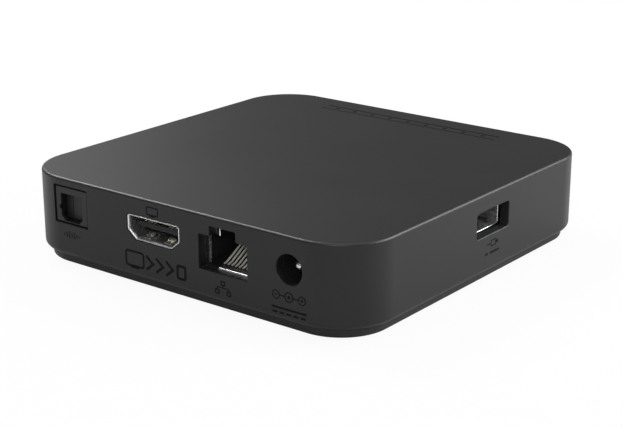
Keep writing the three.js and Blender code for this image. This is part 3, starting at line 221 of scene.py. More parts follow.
def eased(near, far, edge, steps=3):
    """Levels of a plain prism from near to far, with its near edge rounded by edge."""
    curve = [math.radians(90 * i / steps) for i in range(steps + 1)]
    return [(near + edge * (1 - math.sin(a)), -edge * (1 - math.cos(a)))
            for a in reversed(curve)] + [(far, 0)]


def eased_both(near, far, edge, steps=3):
    """Levels of a prism with both of its end edges rounded."""
    front = eased(near, far - edge, edge, steps)[:-1]
    return front + [(far + near - depth, grow) for depth, grow in reversed(front)]


def mouth(name, outline, place, depth, lip=MOUTH_ROUND):
    """A cutter for an opening in a wall, flared so that the opening's edge comes out rounded."""
    curve = [math.radians(90 * i / 4) for i in range(5)]
    levels = [(-1, lip)] + [(lip * (1 - math.cos(a)), lip * (1 - math.sin(a))) for a in curve]
    return sunk(name, outline, place, levels + [(depth, 0)])


def turned(name, profile, place, u=0.0, v=0.0, steps=40):
    """A turned body: (radius, depth) pairs about an axis square to the face."""
    rings = [ring(circle(max(radius, 1e-5), u, v, steps), place, depth) for radius, depth in profile]
    return lofted(name, rings)


def turned_along_x(name, profile, y, z, steps=24):
    """A body turned about an axis along X, through (radius, x) pairs."""
    angles = [2 * math.pi * j / steps for j in range(steps)]
    return lofted(name, [[Vector((x, y + radius * math.cos(a), z + radius * math.sin(a))) for a in angles]
                         for radius, x in profile])


def swept(name, path, radius, sides=10):
    """A round wire along a path of points."""
    rings = []
    up = Vector((0, 0, 1))
    for i, point in enumerate(path):
        ahead = Vector(path[min(i + 1, len(path) - 1)]) - Vector(path[max(i - 1, 0)])
        ahead.normalize()
        side = ahead.cross(up if abs(ahead.z) < 0.95 else Vector((1, 0, 0))).normalized()
        rise = side.cross(ahead)
        rings.append([Vector(point) + (side * math.cos(a) + rise * math.sin(a)) * radius
                      for a in (2 * math.pi * j / sides for j in range(sides))])
    return lofted(name, rings)


def joined(name, parts):
    """Several bodies as one object, which gets its material later."""
    mesh = bpy.data.meshes.new(name)
    work = bmesh.new()
    for part in parts:
        work.from_mesh(part.data)
    for face in work.faces:
        face.material_index = 0
    work.to_mesh(mesh)
    work.free()
    for part in parts:
        bpy.data.objects.remove(part)
    return link(bpy.data.objects.new(name, mesh))


def evaluated_mesh(obj):
    graph = bpy.context.evaluated_depsgraph_get()
    graph.update()
    return bpy.data.meshes.new_from_object(obj.evaluated_get(graph), depsgraph=graph)


def settle(obj):
    """Turns an object's modifiers into plain mesh."""
    mesh = evaluated_mesh(obj)
    obj.modifiers.clear()
    obj.data = mesh
    return obj


def combine(obj, tool, operation="DIFFERENCE"):
    """Cuts, joins or trims obj with another body, which is used up."""
    modifier = obj.modifiers.new("combine", "BOOLEAN")
    modifier.operation = operation
    modifier.solver = "EXACT"
    modifier.object = tool
    settle(obj)
    bpy.data.objects.remove(tool)
    return obj


def shade(obj, sharp_above=32.0):
    """Smooth faces with crisp corners, and normals that keep large flats flat."""
    obj.data.shade_smooth()
    obj.data.set_sharp_from_angle(angle=math.radians(sharp_above))
    modifier = obj.modifiers.new("flats", "WEIGHTED_NORMAL")
    modifier.keep_sharp = True
    return settle(obj)


def finished(obj, material, replaces=(), rides="root", sharp_above=32.0):
    """Gives a piece its material, shading, body and the CAD nodes that it stands for."""
    if material:
        obj.data.materials.clear()
        obj.data.materials.append(material)
    shade(obj, sharp_above)
    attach(obj, rides)
    if replaces:
        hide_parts(*replaces)
    return obj


# ------------------------------------------------------------------ node building
def add(tree, kind, inputs=None, **settings):
    """Adds a node; inputs maps socket names or numbers to values or to other nodes' sockets."""
    made = tree.nodes.new(kind)
    for key, value in settings.items():
        setattr(made, key, value)
    for key, value in (inputs or {}).items():
        if isinstance(value, bpy.types.NodeSocket):
            tree.links.new(value, made.inputs[key])
        else:
            made.inputs[key].default_value = value
    return made


def maths(tree, operation, a, b=0.0):
    return add(tree, "ShaderNodeMath", {0: a, 1: b}, operation=operation).outputs[0]


def vector_maths(tree, operation, a, b=(0, 0, 0)):
    return add(tree, "ShaderNodeVectorMath", {0: a, 1: b}, operation=operation).outputs[0]


def geometry_tree(name, sockets):
    """A geometry node tree with the named inputs, and its input node."""
    tree = bpy.data.node_groups.new(name, "GeometryNodeTree")
    for label, kind, value in sockets:
        socket = tree.interface.new_socket(label, in_out="INPUT", socket_type=kind)
        if value is not None:
            socket.default_value = value
    tree.interface.new_socket("Geometry", in_out="OUTPUT", socket_type="NodeSocketGeometry")
    return tree, tree.nodes.new("NodeGroupInput")


def close_tree(tree, geometry, material):
    """Ends a tree as every tree here ends: instances made real, then the material set."""
    real = add(tree, "GeometryNodeRealizeInstances", {0: geometry}).outputs[0]
    coated = add(tree, "GeometryNodeSetMaterial", {"Geometry": real, "Material": material})
    tree.links.new(coated.outputs[0], tree.nodes.new("NodeGroupOutput").inputs[0])
    return tree


def grown(name, tree, values):
    """Runs a tree once with the given inputs and keeps the result as a plain mesh."""
    maker = link(bpy.data.objects.new(name, bpy.data.meshes.new(name + "_blank")))
    modifier = maker.modifiers.new("maker", "NODES")
    modifier.node_group = tree
    for item in tree.interface.items_tree:
        if item.item_type == "SOCKET" and item.in_out == "INPUT" and item.name in values:
            modifier[item.identifier] = values[item.name]
    return settle(maker)


def rounded_box_tree():
    """A box with round upright corners whose bottom and top edges are rounded over."""
    tree, given = geometry_tree("rounded_box", [
        ("Width", "NodeSocketFloat", 0.1), ("Depth", "NodeSocketFloat", 0.1),
        ("Corner Radius", "NodeSocketFloat", 0.01), ("Bottom", "NodeSocketFloat", 0.0),
        ("Top", "NodeSocketFloat", 0.02), ("Bottom Round", "NodeSocketFloat", 0.001),
        ("Top Round", "NodeSocketFloat", 0.001), ("Corner Steps", "NodeSocketInt", 24),
        ("Material", "NodeSocketMaterial", None)])
    given = given.outputs
    outline = add(tree, "GeometryNodeCurvePrimitiveQuadrilateral",
                  {"Width": given["Width"], "Height": given["Depth"]}, mode="RECTANGLE")
    corners = add(tree, "GeometryNodeFilletCurve",
                  {"Curve": outline.outputs[0], "Radius": given["Corner Radius"],
                   "Count": given["Corner Steps"]}, mode="POLY")
    floor = add(tree, "GeometryNodeFillCurve", {"Curve": corners.outputs[0]}, mode="NGONS").outputs[0]

    # The direction out of the wall at any point: away from the nearest corner's centre.
    place = add(tree, "GeometryNodeInputPosition").outputs[0]
    half = add(tree, "ShaderNodeCombineXYZ", {"X": given["Width"], "Y": given["Depth"]}).outputs[0]
    half = vector_maths(tree, "MULTIPLY", half, (0.5, 0.5, 0))
    radius = add(tree, "ShaderNodeCombineXYZ",
                 {"X": given["Corner Radius"], "Y": given["Corner Radius"]}).outputs[0]
    core = vector_maths(tree, "SUBTRACT", half, radius)
    inner = vector_maths(tree, "MULTIPLY", core, (-1, -1, 0))
    nearest = vector_maths(tree, "MAXIMUM", vector_maths(tree, "MINIMUM", place, core), inner)
    away = vector_maths(tree, "SUBTRACT", vector_maths(tree, "MULTIPLY", place, (1, 1, 0)), nearest)
    away = vector_maths(tree, "NORMALIZE", vector_maths(tree, "MULTIPLY", away, (1, 1, 0)))

    def moved(mesh, selection, outward, up):
        out = add(tree, "ShaderNodeVectorMath", {0: away, "Scale": outward}, operation="SCALE").outputs[0]
        lift = add(tree, "ShaderNodeCombineXYZ", {"Z": up}).outputs[0]
        links = {"Geometry": mesh, "Offset": vector_maths(tree, "ADD", out, lift)}
        if selection:
            links["Selection"] = selection
        return add(tree, "GeometryNodeSetPosition", links).outputs[0]

    mesh = moved(floor, None, maths(tree, "MULTIPLY", given["Bottom Round"], -1.0), given["Bottom"])
    base = add(tree, "GeometryNodeFlipFaces", {0: mesh}).outputs[0]
    straight = maths(tree, "SUBTRACT", given["Top"], given["Bottom"])
    straight = maths(tree, "SUBTRACT", straight, given["Bottom Round"])
    straight = maths(tree, "SUBTRACT", straight, given["Top Round"])
    quarter = [math.pi / 2 * i / 6 for i in range(7)]
    climbs = [(given["Bottom Round"], math.cos(a) - math.cos(b), math.sin(b) - math.sin(a))
              for a, b in zip(quarter, quarter[1:])]
    climbs.append((straight, 1.0, 0.0))
    climbs += [(given["Top Round"], math.sin(b) - math.sin(a), math.cos(b) - math.cos(a))
               for a, b in zip(quarter, quarter[1:])]
    selection = None
    for length, up, outward in climbs:
        links = {"Mesh": mesh, "Offset": (0, 0, 1), "Offset Scale": maths(tree, "MULTIPLY", length, up)}
        if selection:
            links["Selection"] = selection
        risen = add(tree, "GeometryNodeExtrudeMesh", links, mode="FACES")
        risen.inputs["Individual"].default_value = False
        selection = risen.outputs["Top"]
        mesh = moved(risen.outputs["Mesh"], selection, maths(tree, "MULTIPLY", length, outward), 0.0)
    both = add(tree, "GeometryNodeJoinGeometry")
    tree.links.new(mesh, both.inputs[0])
    tree.links.new(base, both.inputs[0])
    whole = add(tree, "GeometryNodeMergeByDistance", {"Geometry": both.outputs[0], "Distance": 1e-7})
    return close_tree(tree, whole.outputs[0], given["Material"])


def row_tree():
    """Copies of one piece in a straight row: contacts, slots, fins, leads and small parts."""
    tree, given = geometry_tree("row_of_pieces", [
        ("Piece", "NodeSocketObject", None), ("Count", "NodeSocketInt", 4),
        ("Start", "NodeSocketVector", None), ("Step", "NodeSocketVector", None),
        ("Material", "NodeSocketMaterial", None)])
    given = given.outputs
    line = add(tree, "GeometryNodeMeshLine",
               {"Count": given["Count"], "Start Location": given["Start"], "Offset": given["Step"]},
               mode="OFFSET", count_mode="TOTAL")
    source = add(tree, "GeometryNodeObjectInfo", {"Object": given["Piece"]}, transform_space="ORIGINAL")
    copies = add(tree, "GeometryNodeInstanceOnPoints",
                 {"Points": line.outputs[0], "Instance": source.outputs["Geometry"]})
    return close_tree(tree, copies.outputs[0], given["Material"])


def corners_tree():
    """One piece at the four corners of a rectangle: screws and feet."""
    tree, given = geometry_tree("piece_at_four_corners", [
        ("Piece", "NodeSocketObject", None), ("Spacing X", "NodeSocketFloat", 0.05),
        ("Spacing Y", "NodeSocketFloat", 0.05), ("Middle", "NodeSocketVector", None),
        ("Material", "NodeSocketMaterial", None)])
    given = given.outputs
    grid = add(tree, "GeometryNodeMeshGrid",
               {"Size X": given["Spacing X"], "Size Y": given["Spacing Y"],
                "Vertices X": 2, "Vertices Y": 2})
    middle = add(tree, "GeometryNodeTransform",
                 {"Geometry": grid.outputs[0], "Translation": given["Middle"]})
    source = add(tree, "GeometryNodeObjectInfo", {"Object": given["Piece"]}, transform_space="ORIGINAL")
    copies = add(tree, "GeometryNodeInstanceOnPoints",
                 {"Points": middle.outputs[0], "Instance": source.outputs["Geometry"]})
    return close_tree(tree, copies.outputs[0], given["Material"])


ROUNDED_BOX = rounded_box_tree()
ROW = row_tree()
FOUR_CORNERS = corners_tree()


def rounded_box(name, inset, bottom, top, bottom_round=0.0, top_round=0.0, material=None):
    """A box that follows the case's outline, inset from it."""
    return grown(name, ROUNDED_BOX, {
        "Width": 2 * (HALF_WIDTH - inset) * MM, "Depth": 2 * (HALF_DEPTH - inset) * MM,
        "Corner Radius": (CORNER_RADIUS - inset) * MM, "Bottom": bottom * MM, "Top": top * MM,
        "Bottom Round": bottom_round * MM, "Top Round": top_round * MM, "Material": material})


def row(name, piece, count, start, step, material=None):
    """A row of copies of a piece, which is used up."""
    made = grown(name, ROW, {"Piece": piece, "Count": count, "Start": list(Vector(start) * MM),
                             "Step": list(Vector(step) * MM), "Material": material})
    bpy.data.objects.remove(piece)
    return made


def at_four_corners(name, piece, spacing, middle, material=None):
    made = grown(name, FOUR_CORNERS, {
        "Piece": piece, "Spacing X": spacing[0] * MM, "Spacing Y": spacing[1] * MM,
        "Middle": list(Vector(middle) * MM), "Material": material})
    bpy.data.objects.remove(piece)
    return made


# ------------------------------------------------------------------ shader groups
def shader_group(name, inputs, outputs):
    """A shader node group with named sockets; returns its tree, input node and output node."""
    tree = bpy.data.node_groups.new(name, "ShaderNodeTree")
    for label, value in inputs:
        tree.interface.new_socket(label, in_out="INPUT", socket_type="NodeSocketFloat").default_value = value
    for label in outputs:
        tree.interface.new_socket(label, in_out="OUTPUT", socket_type="NodeSocketFloat")
    return tree, tree.nodes.new("NodeGroupInput").outputs, tree.nodes.new("NodeGroupOutput").inputs


def moulded_grain_group():
    """Spark-eroded texture: soft hills with finer pits between them."""
    tree, given, out = shader_group("moulded_grain", [("Scale", 3000.0), ("Pits", 0.4)],
                                    ["Height", "Shade"])
    place = add(tree, "ShaderNodeTexCoord").outputs["Object"]
    hills = add(tree, "ShaderNodeTexNoise",
                {"Vector": place, "Scale": given["Scale"], "Detail": 3.0, "Roughness": 0.6})
    fine = maths(tree, "MULTIPLY", given["Scale"], 1.7)
    pits = add(tree, "ShaderNodeTexVoronoi", {"Vector": place, "Scale": fine}, feature="SMOOTH_F1")
    depth = maths(tree, "MULTIPLY", pits.outputs["Distance"], given["Pits"])
    tree.links.new(maths(tree, "SUBTRACT", hills.outputs[0], depth), out["Height"])
    tree.links.new(hills.outputs[0], out["Shade"])
    return tree


def handling_group():
    """Broad, faint changes from moulding flow and from hands."""
    tree, given, out = shader_group("handling_marks", [("Scale", 40.0), ("Contrast", 0.5)], ["Mask"])
    place = add(tree, "ShaderNodeTexCoord").outputs["Object"]
    broad = add(tree, "ShaderNodeTexNoise",
                {"Vector": place, "Scale": given["Scale"], "Detail": 4.0, "Distortion": 0.6})
    level = maths(tree, "SUBTRACT", broad.outputs[0], 0.5)
    level = maths(tree, "MULTIPLY", level, given["Contrast"])
    tree.links.new(maths(tree, "ADD", level, 0.5), out["Mask"])
    return tree


def drawn_metal_group():
    """Fine lines left along a drawn or rolled sheet."""
    tree, given, out = shader_group("drawn_metal", [("Scale", 900.0), ("Stretch", 0.06)],
                                    ["Height", "Shade"])
    place = add(tree, "ShaderNodeTexCoord").outputs["Object"]
    squeezed = add(tree, "ShaderNodeCombineXYZ", {"X": given["Stretch"], "Y": 1.0, "Z": 1.0}).outputs[0]
    along = vector_maths(tree, "MULTIPLY", place, squeezed)
    lines = add(tree, "ShaderNodeTexNoise",
                {"Vector": along, "Scale": given["Scale"], "Detail": 5.0, "Roughness": 0.7})
    tree.links.new(lines.outputs[0], out["Height"])
    tree.links.new(lines.outputs[0], out["Shade"])
    return tree


def weave_group():
    """Glass cloth under a board's lacquer: two crossed sets of threads."""
    tree, given, out = shader_group("glass_weave", [("Pitch", 0.0006)], ["Height"])
    place = add(tree, "ShaderNodeTexCoord").outputs["Object"]
    parts = add(tree, "ShaderNodeSeparateXYZ", {0: place}).outputs
    turn = maths(tree, "DIVIDE", 2 * math.pi, given["Pitch"])
    warp = maths(tree, "SINE", maths(tree, "MULTIPLY", parts["X"], turn))
    weft = maths(tree, "SINE", maths(tree, "MULTIPLY", parts["Y"], turn))
    tree.links.new(maths(tree, "MULTIPLY", warp, weft), out["Height"])
    return tree


GRAIN = moulded_grain_group()
HANDLING = handling_group()
DRAWN = drawn_metal_group()
WEAVE = weave_group()


# ------------------------------------------------------------------ materials
def placed(tree, group, **values):
    node = tree.nodes.new("ShaderNodeGroup")
    node.node_tree = group
    for label, value in values.items():
        node.inputs[label.replace("_", " ")].default_value = value
    return node


def surface(name, roughness, metallic=0.0, specular=0.5, **sockets):
    """A new material with its Principled shader; sockets are constant values set on it."""
    material = bpy.data.materials.new(name)
    material.use_nodes = True
    tree = material.node_tree
    shader = tree.nodes["Principled BSDF"]
    shader.inputs["Roughness"].default_value = roughness
    shader.inputs["Metallic"].default_value = metallic
    shader.inputs["Specular IOR Level"].default_value = specular
    for label, value in sockets.items():
        shader.inputs[label.replace("_", " ")].default_value = value
    return material, tree, shader


def between(tree, factor, dark, light):
    mix = add(tree, "ShaderNodeMix", {0: factor}, data_type="RGBA")
    mix.inputs[6].default_value = (*dark, 1)
    mix.inputs[7].default_value = (*light, 1)
    return mix.outputs[2]


def tint(colour, share):
    return tuple(channel * share for channel in colour)


def spread(tree, value, low, high):
    return add(tree, "ShaderNodeMapRange", {"Value": value, "To Min": low, "To Max": high}).outputs[0]


def relief(tree, shader, height, distance):
    bump = add(tree, "ShaderNodeBump", {"Height": height, "Distance": distance, "Strength": 1.0})
    tree.links.new(bump.outputs[0], shader.inputs["Normal"])


def plastic(name, colour, roughness, grain=3000.0, depth=1e-5, variation=0.12, specular=0.5, **more):
    """Moulded plastic or rubber: grain in its relief, faint flow marks in colour and gloss."""
    material, tree, shader = surface(name, roughness, specular=specular, **more)
    texture = placed(tree, GRAIN, Scale=grain)
    marks = placed(tree, HANDLING, Scale=45.0, Contrast=0.8)
    mixed = maths(tree, "MULTIPLY", maths(tree, "ADD", texture.outputs["Shade"], marks.outputs["Mask"]), 0.5)
    tree.links.new(between(tree, mixed, tint(colour, 1 - variation), tint(colour, 1 + variation)),
                   shader.inputs["Base Color"])
    tree.links.new(spread(tree, marks.outputs["Mask"], roughness - 0.05, roughness + 0.05),
                   shader.inputs["Roughness"])
    relief(tree, shader, texture.outputs["Height"], depth)
    return material


def metal(name, colour, roughness, scale=900.0, depth=4e-6, variation=0.12, share=1.0):
    """Plated or drawn sheet metal with fine lines; a satin plate has a share below one."""
    material, tree, shader = surface(name, roughness, metallic=share)
    lines = placed(tree, DRAWN, Scale=scale)
    marks = placed(tree, HANDLING, Scale=160.0, Contrast=0.9)
    tree.links.new(between(tree, marks.outputs["Mask"], tint(colour, 1 - variation), colour),
                   shader.inputs["Base Color"])
    tree.links.new(spread(tree, lines.outputs["Shade"], roughness - 0.08, roughness + 0.1),
                   shader.inputs["Roughness"])
    relief(tree, shader, lines.outputs["Height"], depth)
    return material


def board_lacquer():
    """Green solder resist over glass cloth, with the copper's paths showing faintly through."""
    material, tree, shader = surface("board_lacquer", 0.35, specular=0.5, Coat_Weight=0.25)
    place = add(tree, "ShaderNodeTexCoord").outputs["Object"]
    cells = add(tree, "ShaderNodeTexVoronoi", {"Vector": place, "Scale": 260.0},
                feature="DISTANCE_TO_EDGE", distance="MANHATTAN")
    paths = maths(tree, "LESS_THAN", cells.outputs["Distance"], 0.05)
    weave = placed(tree, WEAVE, Pitch=0.0005)
    tree.links.new(between(tree, paths, (0.006, 0.045, 0.022), (0.02, 0.11, 0.05)),
                   shader.inputs["Base Color"])
    height = maths(tree, "ADD", maths(tree, "MULTIPLY", weave.outputs[0], 0.15), paths)
    relief(tree, shader, height, 1.2e-5)
    return material


def label_sheet():
    """Satin printed sheet with faint paper fibres."""
    material, tree, shader = surface("label_sheet", 0.55, specular=0.3)
    place = add(tree, "ShaderNodeTexCoord").outputs["Object"]
    fibres = add(tree, "ShaderNodeTexNoise", {"Vector": place, "Scale": 2500.0, "Detail": 4.0})
    marks = placed(tree, HANDLING, Scale=60.0)
    tree.links.new(between(tree, marks.outputs[0], (0.035, 0.035, 0.037), (0.045, 0.045, 0.047)),
                   shader.inputs["Base Color"])
    relief(tree, shader, fibres.outputs[0], 5e-6)
    return material


def clear_resin(name, colour):
    """Clear moulded resin with a slightly uneven surface."""
    material, tree, shader = surface(name, 0.12, Transmission_Weight=0.85, IOR=1.49)
    marks = placed(tree, HANDLING, Scale=120.0)
    tree.links.new(between(tree, marks.outputs[0], tint(colour, 0.94), colour),
                   shader.inputs["Base Color"])
    tree.links.new(spread(tree, marks.outputs[0], 0.08, 0.16), shader.inputs["Roughness"])
    relief(tree, shader, placed(tree, GRAIN, Scale=900.0).outputs[0], 2e-6)
    return material


CASE = plastic("case_black_plastic", (0.009, 0.009, 0.0093), 0.42, 3800, 7e-6, 0.06, specular=0.32)
BASE_PLASTIC = plastic("base_black_plastic", (0.01, 0.01, 0.0103), 0.46, 3200, 9e-6, 0.08, specular=0.32)
PRINT_INK = plastic("print_ink", (0.003, 0.003, 0.0031), 0.55, 5000, 3e-6, 0.1, specular=0.08)
RUBBER = plastic("foot_rubber", (0.02, 0.02, 0.02), 0.75, 2600, 1.6e-5, 0.15, specular=0.25)
SCREW_STEEL = metal("screw_black_steel", (0.28, 0.28, 0.29), 0.4, 1500)
WINDOW = plastic("window_dark_plastic", (0.006, 0.005, 0.006), 0.08, 900, 8e-7, 0.1, Coat_Weight=0.4)
CLEAR = clear_resin("clear_resin", (0.9, 0.9, 0.88))
SOCKET = plastic("socket_black_plastic", (0.01, 0.01, 0.0105), 0.5, 3000, 8e-6, 0.1, specular=0.25)
GLOSS = plastic("optical_gloss_plastic", (0.01, 0.01, 0.0104), 0.32, 2600, 3e-6, 0.08, specular=0.3)
SHUTTER = plastic("shutter_black_plastic", (0.012, 0.012, 0.0125), 0.42, 2600, 8e-6, 0.08, specular=0.35)
PORT_STEEL = metal("port_plated_steel", (0.86, 0.86, 0.87), 0.25, share=0.96)
GOLD = metal("contact_gold_plate", (0.93, 0.83, 0.62), 0.2, 2000, 2e-6)
PALE_PLATE = metal("contact_pale_plate", (0.96, 0.92, 0.84), 0.4, 2000, 2e-6, share=0.45)
WIRE = metal("spring_wire_steel", (0.75, 0.75, 0.76), 0.25, 1800, 2e-6)
BOARD = board_lacquer()
CHIP = plastic("chip_resin", (0.018, 0.018, 0.019), 0.55, 4200, 1e-5, 0.15, specular=0.3)
CAN_STEEL = metal("shield_can_steel", (0.66, 0.66, 0.66), 0.36, 700)
SINK = metal("sink_aluminium", (0.72, 0.73, 0.74), 0.42, 600, 6e-6)
CAN_ALUMINIUM = metal("can_aluminium", (0.8, 0.8, 0.81), 0.3, 500)
PAD = plastic("pad_silicone", (0.25, 0.3, 0.36), 0.7, 1800, 2e-5, 0.1, specular=0.3)
JACKET = plastic("lead_jacket", (0.02, 0.02, 0.021), 0.45, 2500, 5e-6, 0.1)
LABEL = label_sheet()
LABEL_INK = plastic("label_grey_ink", (0.22, 0.22, 0.22), 0.55, 4000, 2e-6, 0.08, specular=0.3)

SLOT_MATERIALS = {
    "case_plastic": CASE, "base_plastic": BASE_PLASTIC, "foot_rubber": RUBBER,
    "screw_steel": SCREW_STEEL, "window_plastic": WINDOW, "clear_plastic": CLEAR,
    "socket_plastic": SOCKET, "shutter_plastic": SHUTTER, "port_steel": PORT_STEEL,
    "contact_gold": GOLD, "wire_steel": WIRE, "board_laminate": BOARD, "chip_resin": CHIP,
    "shield_can": CAN_STEEL, "sink_aluminium": SINK, "can_aluminium": CAN_ALUMINIUM,
    "pad_silicone": PAD, "lead_jacket": JACKET, "aerial_laminate": BOARD, "label_paper": LABEL,
}


# ------------------------------------------------------------------ case
PORT = {name: extent(name) for name in (
    "optical_port_housing", "video_port_shell", "network_jack_shield", "power_jack_housing",
    "accessory_port_shell", "front_window", "status_light_pipe")}
OPTICAL_X, VIDEO_X, NETWORK_X, POWER_X = (
    (PORT[name][0].x + PORT[name][1].x) / 2 for name in
    ("optical_port_housing", "video_port_shell", "network_jack_shield", "power_jack_housing"))
ACCESSORY_Y = (PORT["accessory_port_shell"][0].y + PORT["accessory_port_shell"][1].y) / 2
WINDOW_Z = (PORT["front_window"][0].z + PORT["front_window"][1].z) / 2
PIPE_X = (PORT["status_light_pipe"][0].x + PORT["status_light_pipe"][1].x) / 2
WINDOW_SIZE = (26.0, 6.0)
PIPE_RADIUS = 1.0

OPTICAL_OPENING = (10.4, 8.8)
OPTICAL_FLOOR = BOARD_TOP + 0.4
VIDEO_SIZE = (15.0, 5.5)
VIDEO_CUT = (2.3, 1.9)  # the sloping lower corners, across and up
VIDEO_TOP = PORT["video_port_shell"][1].z
NETWORK_CAVITY = (11.8, 6.9)
NETWORK_LATCH = (6.4, 2.2)
NETWORK_FLOOR = BOARD_TOP - 0.75
NETWORK_MARGIN = 0.65
NETWORK_LIP = 0.4
POWER_Z = PORT["power_jack_housing"][1].z - 4.8
POWER_BORE = 3.25
ACCESSORY_SIZE = (13.1, 5.8)
ACCESSORY_TOP = PORT["accessory_port_shell"][1].z
CASE_SCREWS = ((80.0, 52.0), (0.0, -2.0, 0.0))  # spacing and middle
BOARD_SCREWS = ((66.0, 53.0), (0.0, 0.5, 0.0))
FEET = ((70.0, 70.0), (0.0, 0.0, 0.0))
FOOT_RADIUS = 4.5
POST_RADIUS = 3.25
POST_BORE = 1.35
POST_FOOT = BOARD_BOTTOM - 5.2
POST_BORE_END = 10.6
STANDOFF_RADIUS = 2.7
SCREW_HEAD_TOP = BASE + 2.3  # the seat that a case screw's head bears on
SCREW_STEPS = 20
THREAD_PITCH = 0.5
PLINTH_INSET = 1.7
VENTS = 11
VENT_PITCH = 4.0
VENT_SIZE = (1.6, 16.0)
VENT_MIDDLE = 12.0
RESET = (-30.0, 10.0)
LABEL_SIZE = (42.0, 18.0)
LABEL_MIDDLE = -22.0
LABEL_BARS = ((16, -10), (22, -7), (18, -9), (22, -7))  # length and middle
LABEL_FIRST_BAR = -16.5
LABEL_BAR_PITCH = 3.4
LABEL_RINGS = (6.0, 11.2, 16.4)
LABEL_RING_LINE = -25.5


def box_outline(width, floor, roof, middle=0.0):
    half = width / 2
    return [(middle - half, floor), (middle + half, floor), (middle + half, roof), (middle - half, roof)]


def optical_opening():
    return softened(box_outline(OPTICAL_OPENING[0], OPTICAL_FLOOR, OPTICAL_FLOOR + OPTICAL_OPENING[1],
                                OPTICAL_X), 0.35)


def video_outline(grow=0.0, radius=0.7):
    half, across, up = VIDEO_SIZE[0] / 2, *VIDEO_CUT
    floor = VIDEO_TOP - VIDEO_SIZE[1]
    corners = [(-half + across, floor), (half - across, floor), (half, floor + up), (half, VIDEO_TOP),
               (-half, VIDEO_TOP), (-half, floor + up)]
    return offset(softened([(VIDEO_X + u, v) for u, v in corners], radius), grow)


def network_outline(margin=0.0, lip=0.0, radius=0.25):
    """A wide body with a narrower channel for the plug's latch above it."""
    side = NETWORK_CAVITY[0] / 2 + margin
    latch = NETWORK_LATCH[0] / 2 + margin / 2
    roof = NETWORK_FLOOR + NETWORK_CAVITY[1] + lip
    top = roof + NETWORK_LATCH[1]
    corners = [(-side, NETWORK_FLOOR - lip), (side, NETWORK_FLOOR - lip), (side, roof), (latch, roof),
               (latch, top), (-latch, top), (-latch, roof), (-side, roof)]
    return softened([(NETWORK_X + u, v) for u, v in corners], radius)


def accessory_outline(grow=0.0):
    middle = ACCESSORY_TOP - ACCESSORY_SIZE[1] / 2
    return offset(rounded(*ACCESSORY_SIZE, 0.7, ACCESSORY_Y, middle), grow)


def window_outline(grow=0.0):
    return offset(rounded(*WINDOW_SIZE, 1.2, 0, WINDOW_Z, 8), grow)


def top_cover():
    """The shell: outer form, cavity, the openings' rounded mouths and four screw posts."""
    shell = rounded_box("top_cover_shell", 0, COVER_LOW.z, TOP, WALL_FOOT_ROUND, TOP_EDGE_ROUND)
    combine(shell, rounded_box("cavity", SIDE_WALL, COVER_LOW.z - 2, CEILING, 0.05, 0.4))
    through = SIDE_WALL + 1.5
    for tool in (
            mouth("optical_mouth", optical_opening(), on_rear, through),
            mouth("video_mouth", video_outline(0.15), on_rear, through, 0.12),
            mouth("network_mouth", network_outline(NETWORK_MARGIN, NETWORK_LIP, 0.32), on_rear, through,
                  0.15),
            mouth("power_mouth", circle(POWER_BORE, POWER_X, POWER_Z, 64), on_rear, through, 0.3),
            mouth("accessory_mouth", accessory_outline(), on_side, through),
            mouth("window_mouth", window_outline(0.05), on_front, through, 0.1),
            mouth("pipe_mouth", circle(PIPE_RADIUS + 0.1, PIPE_X, WINDOW_Z, 32), on_front, through, 0.1)):
        combine(shell, tool)
    post = turned("post", (
        (POST_RADIUS - 0.2, POST_FOOT), (POST_RADIUS, POST_FOOT + 0.2), (POST_RADIUS, CEILING - 0.6),
        (POST_RADIUS + 0.65, CEILING + 0.2)), flat, steps=36)
    combine(shell, at_four_corners("posts", post, *CASE_SCREWS), "UNION")
    bore = turned("bore", (
        (POST_BORE + 0.35, POST_FOOT - 0.2), (POST_BORE, POST_FOOT + 0.3), (POST_BORE, POST_BORE_END)),
        flat, steps=24)
    combine(shell, at_four_corners("bores", bore, *CASE_SCREWS))
    return finished(shell, CASE, ["top_cover"])


def pocket_cutter(name, width, depth, radius, middle, levels):
    """An upright cutter through (growth, height) levels, centred on X."""
    return lofted(name, [ring(rounded(width + 2 * grow, depth + 2 * grow, radius + grow, 0, middle), flat, z)
                         for grow, z in levels])


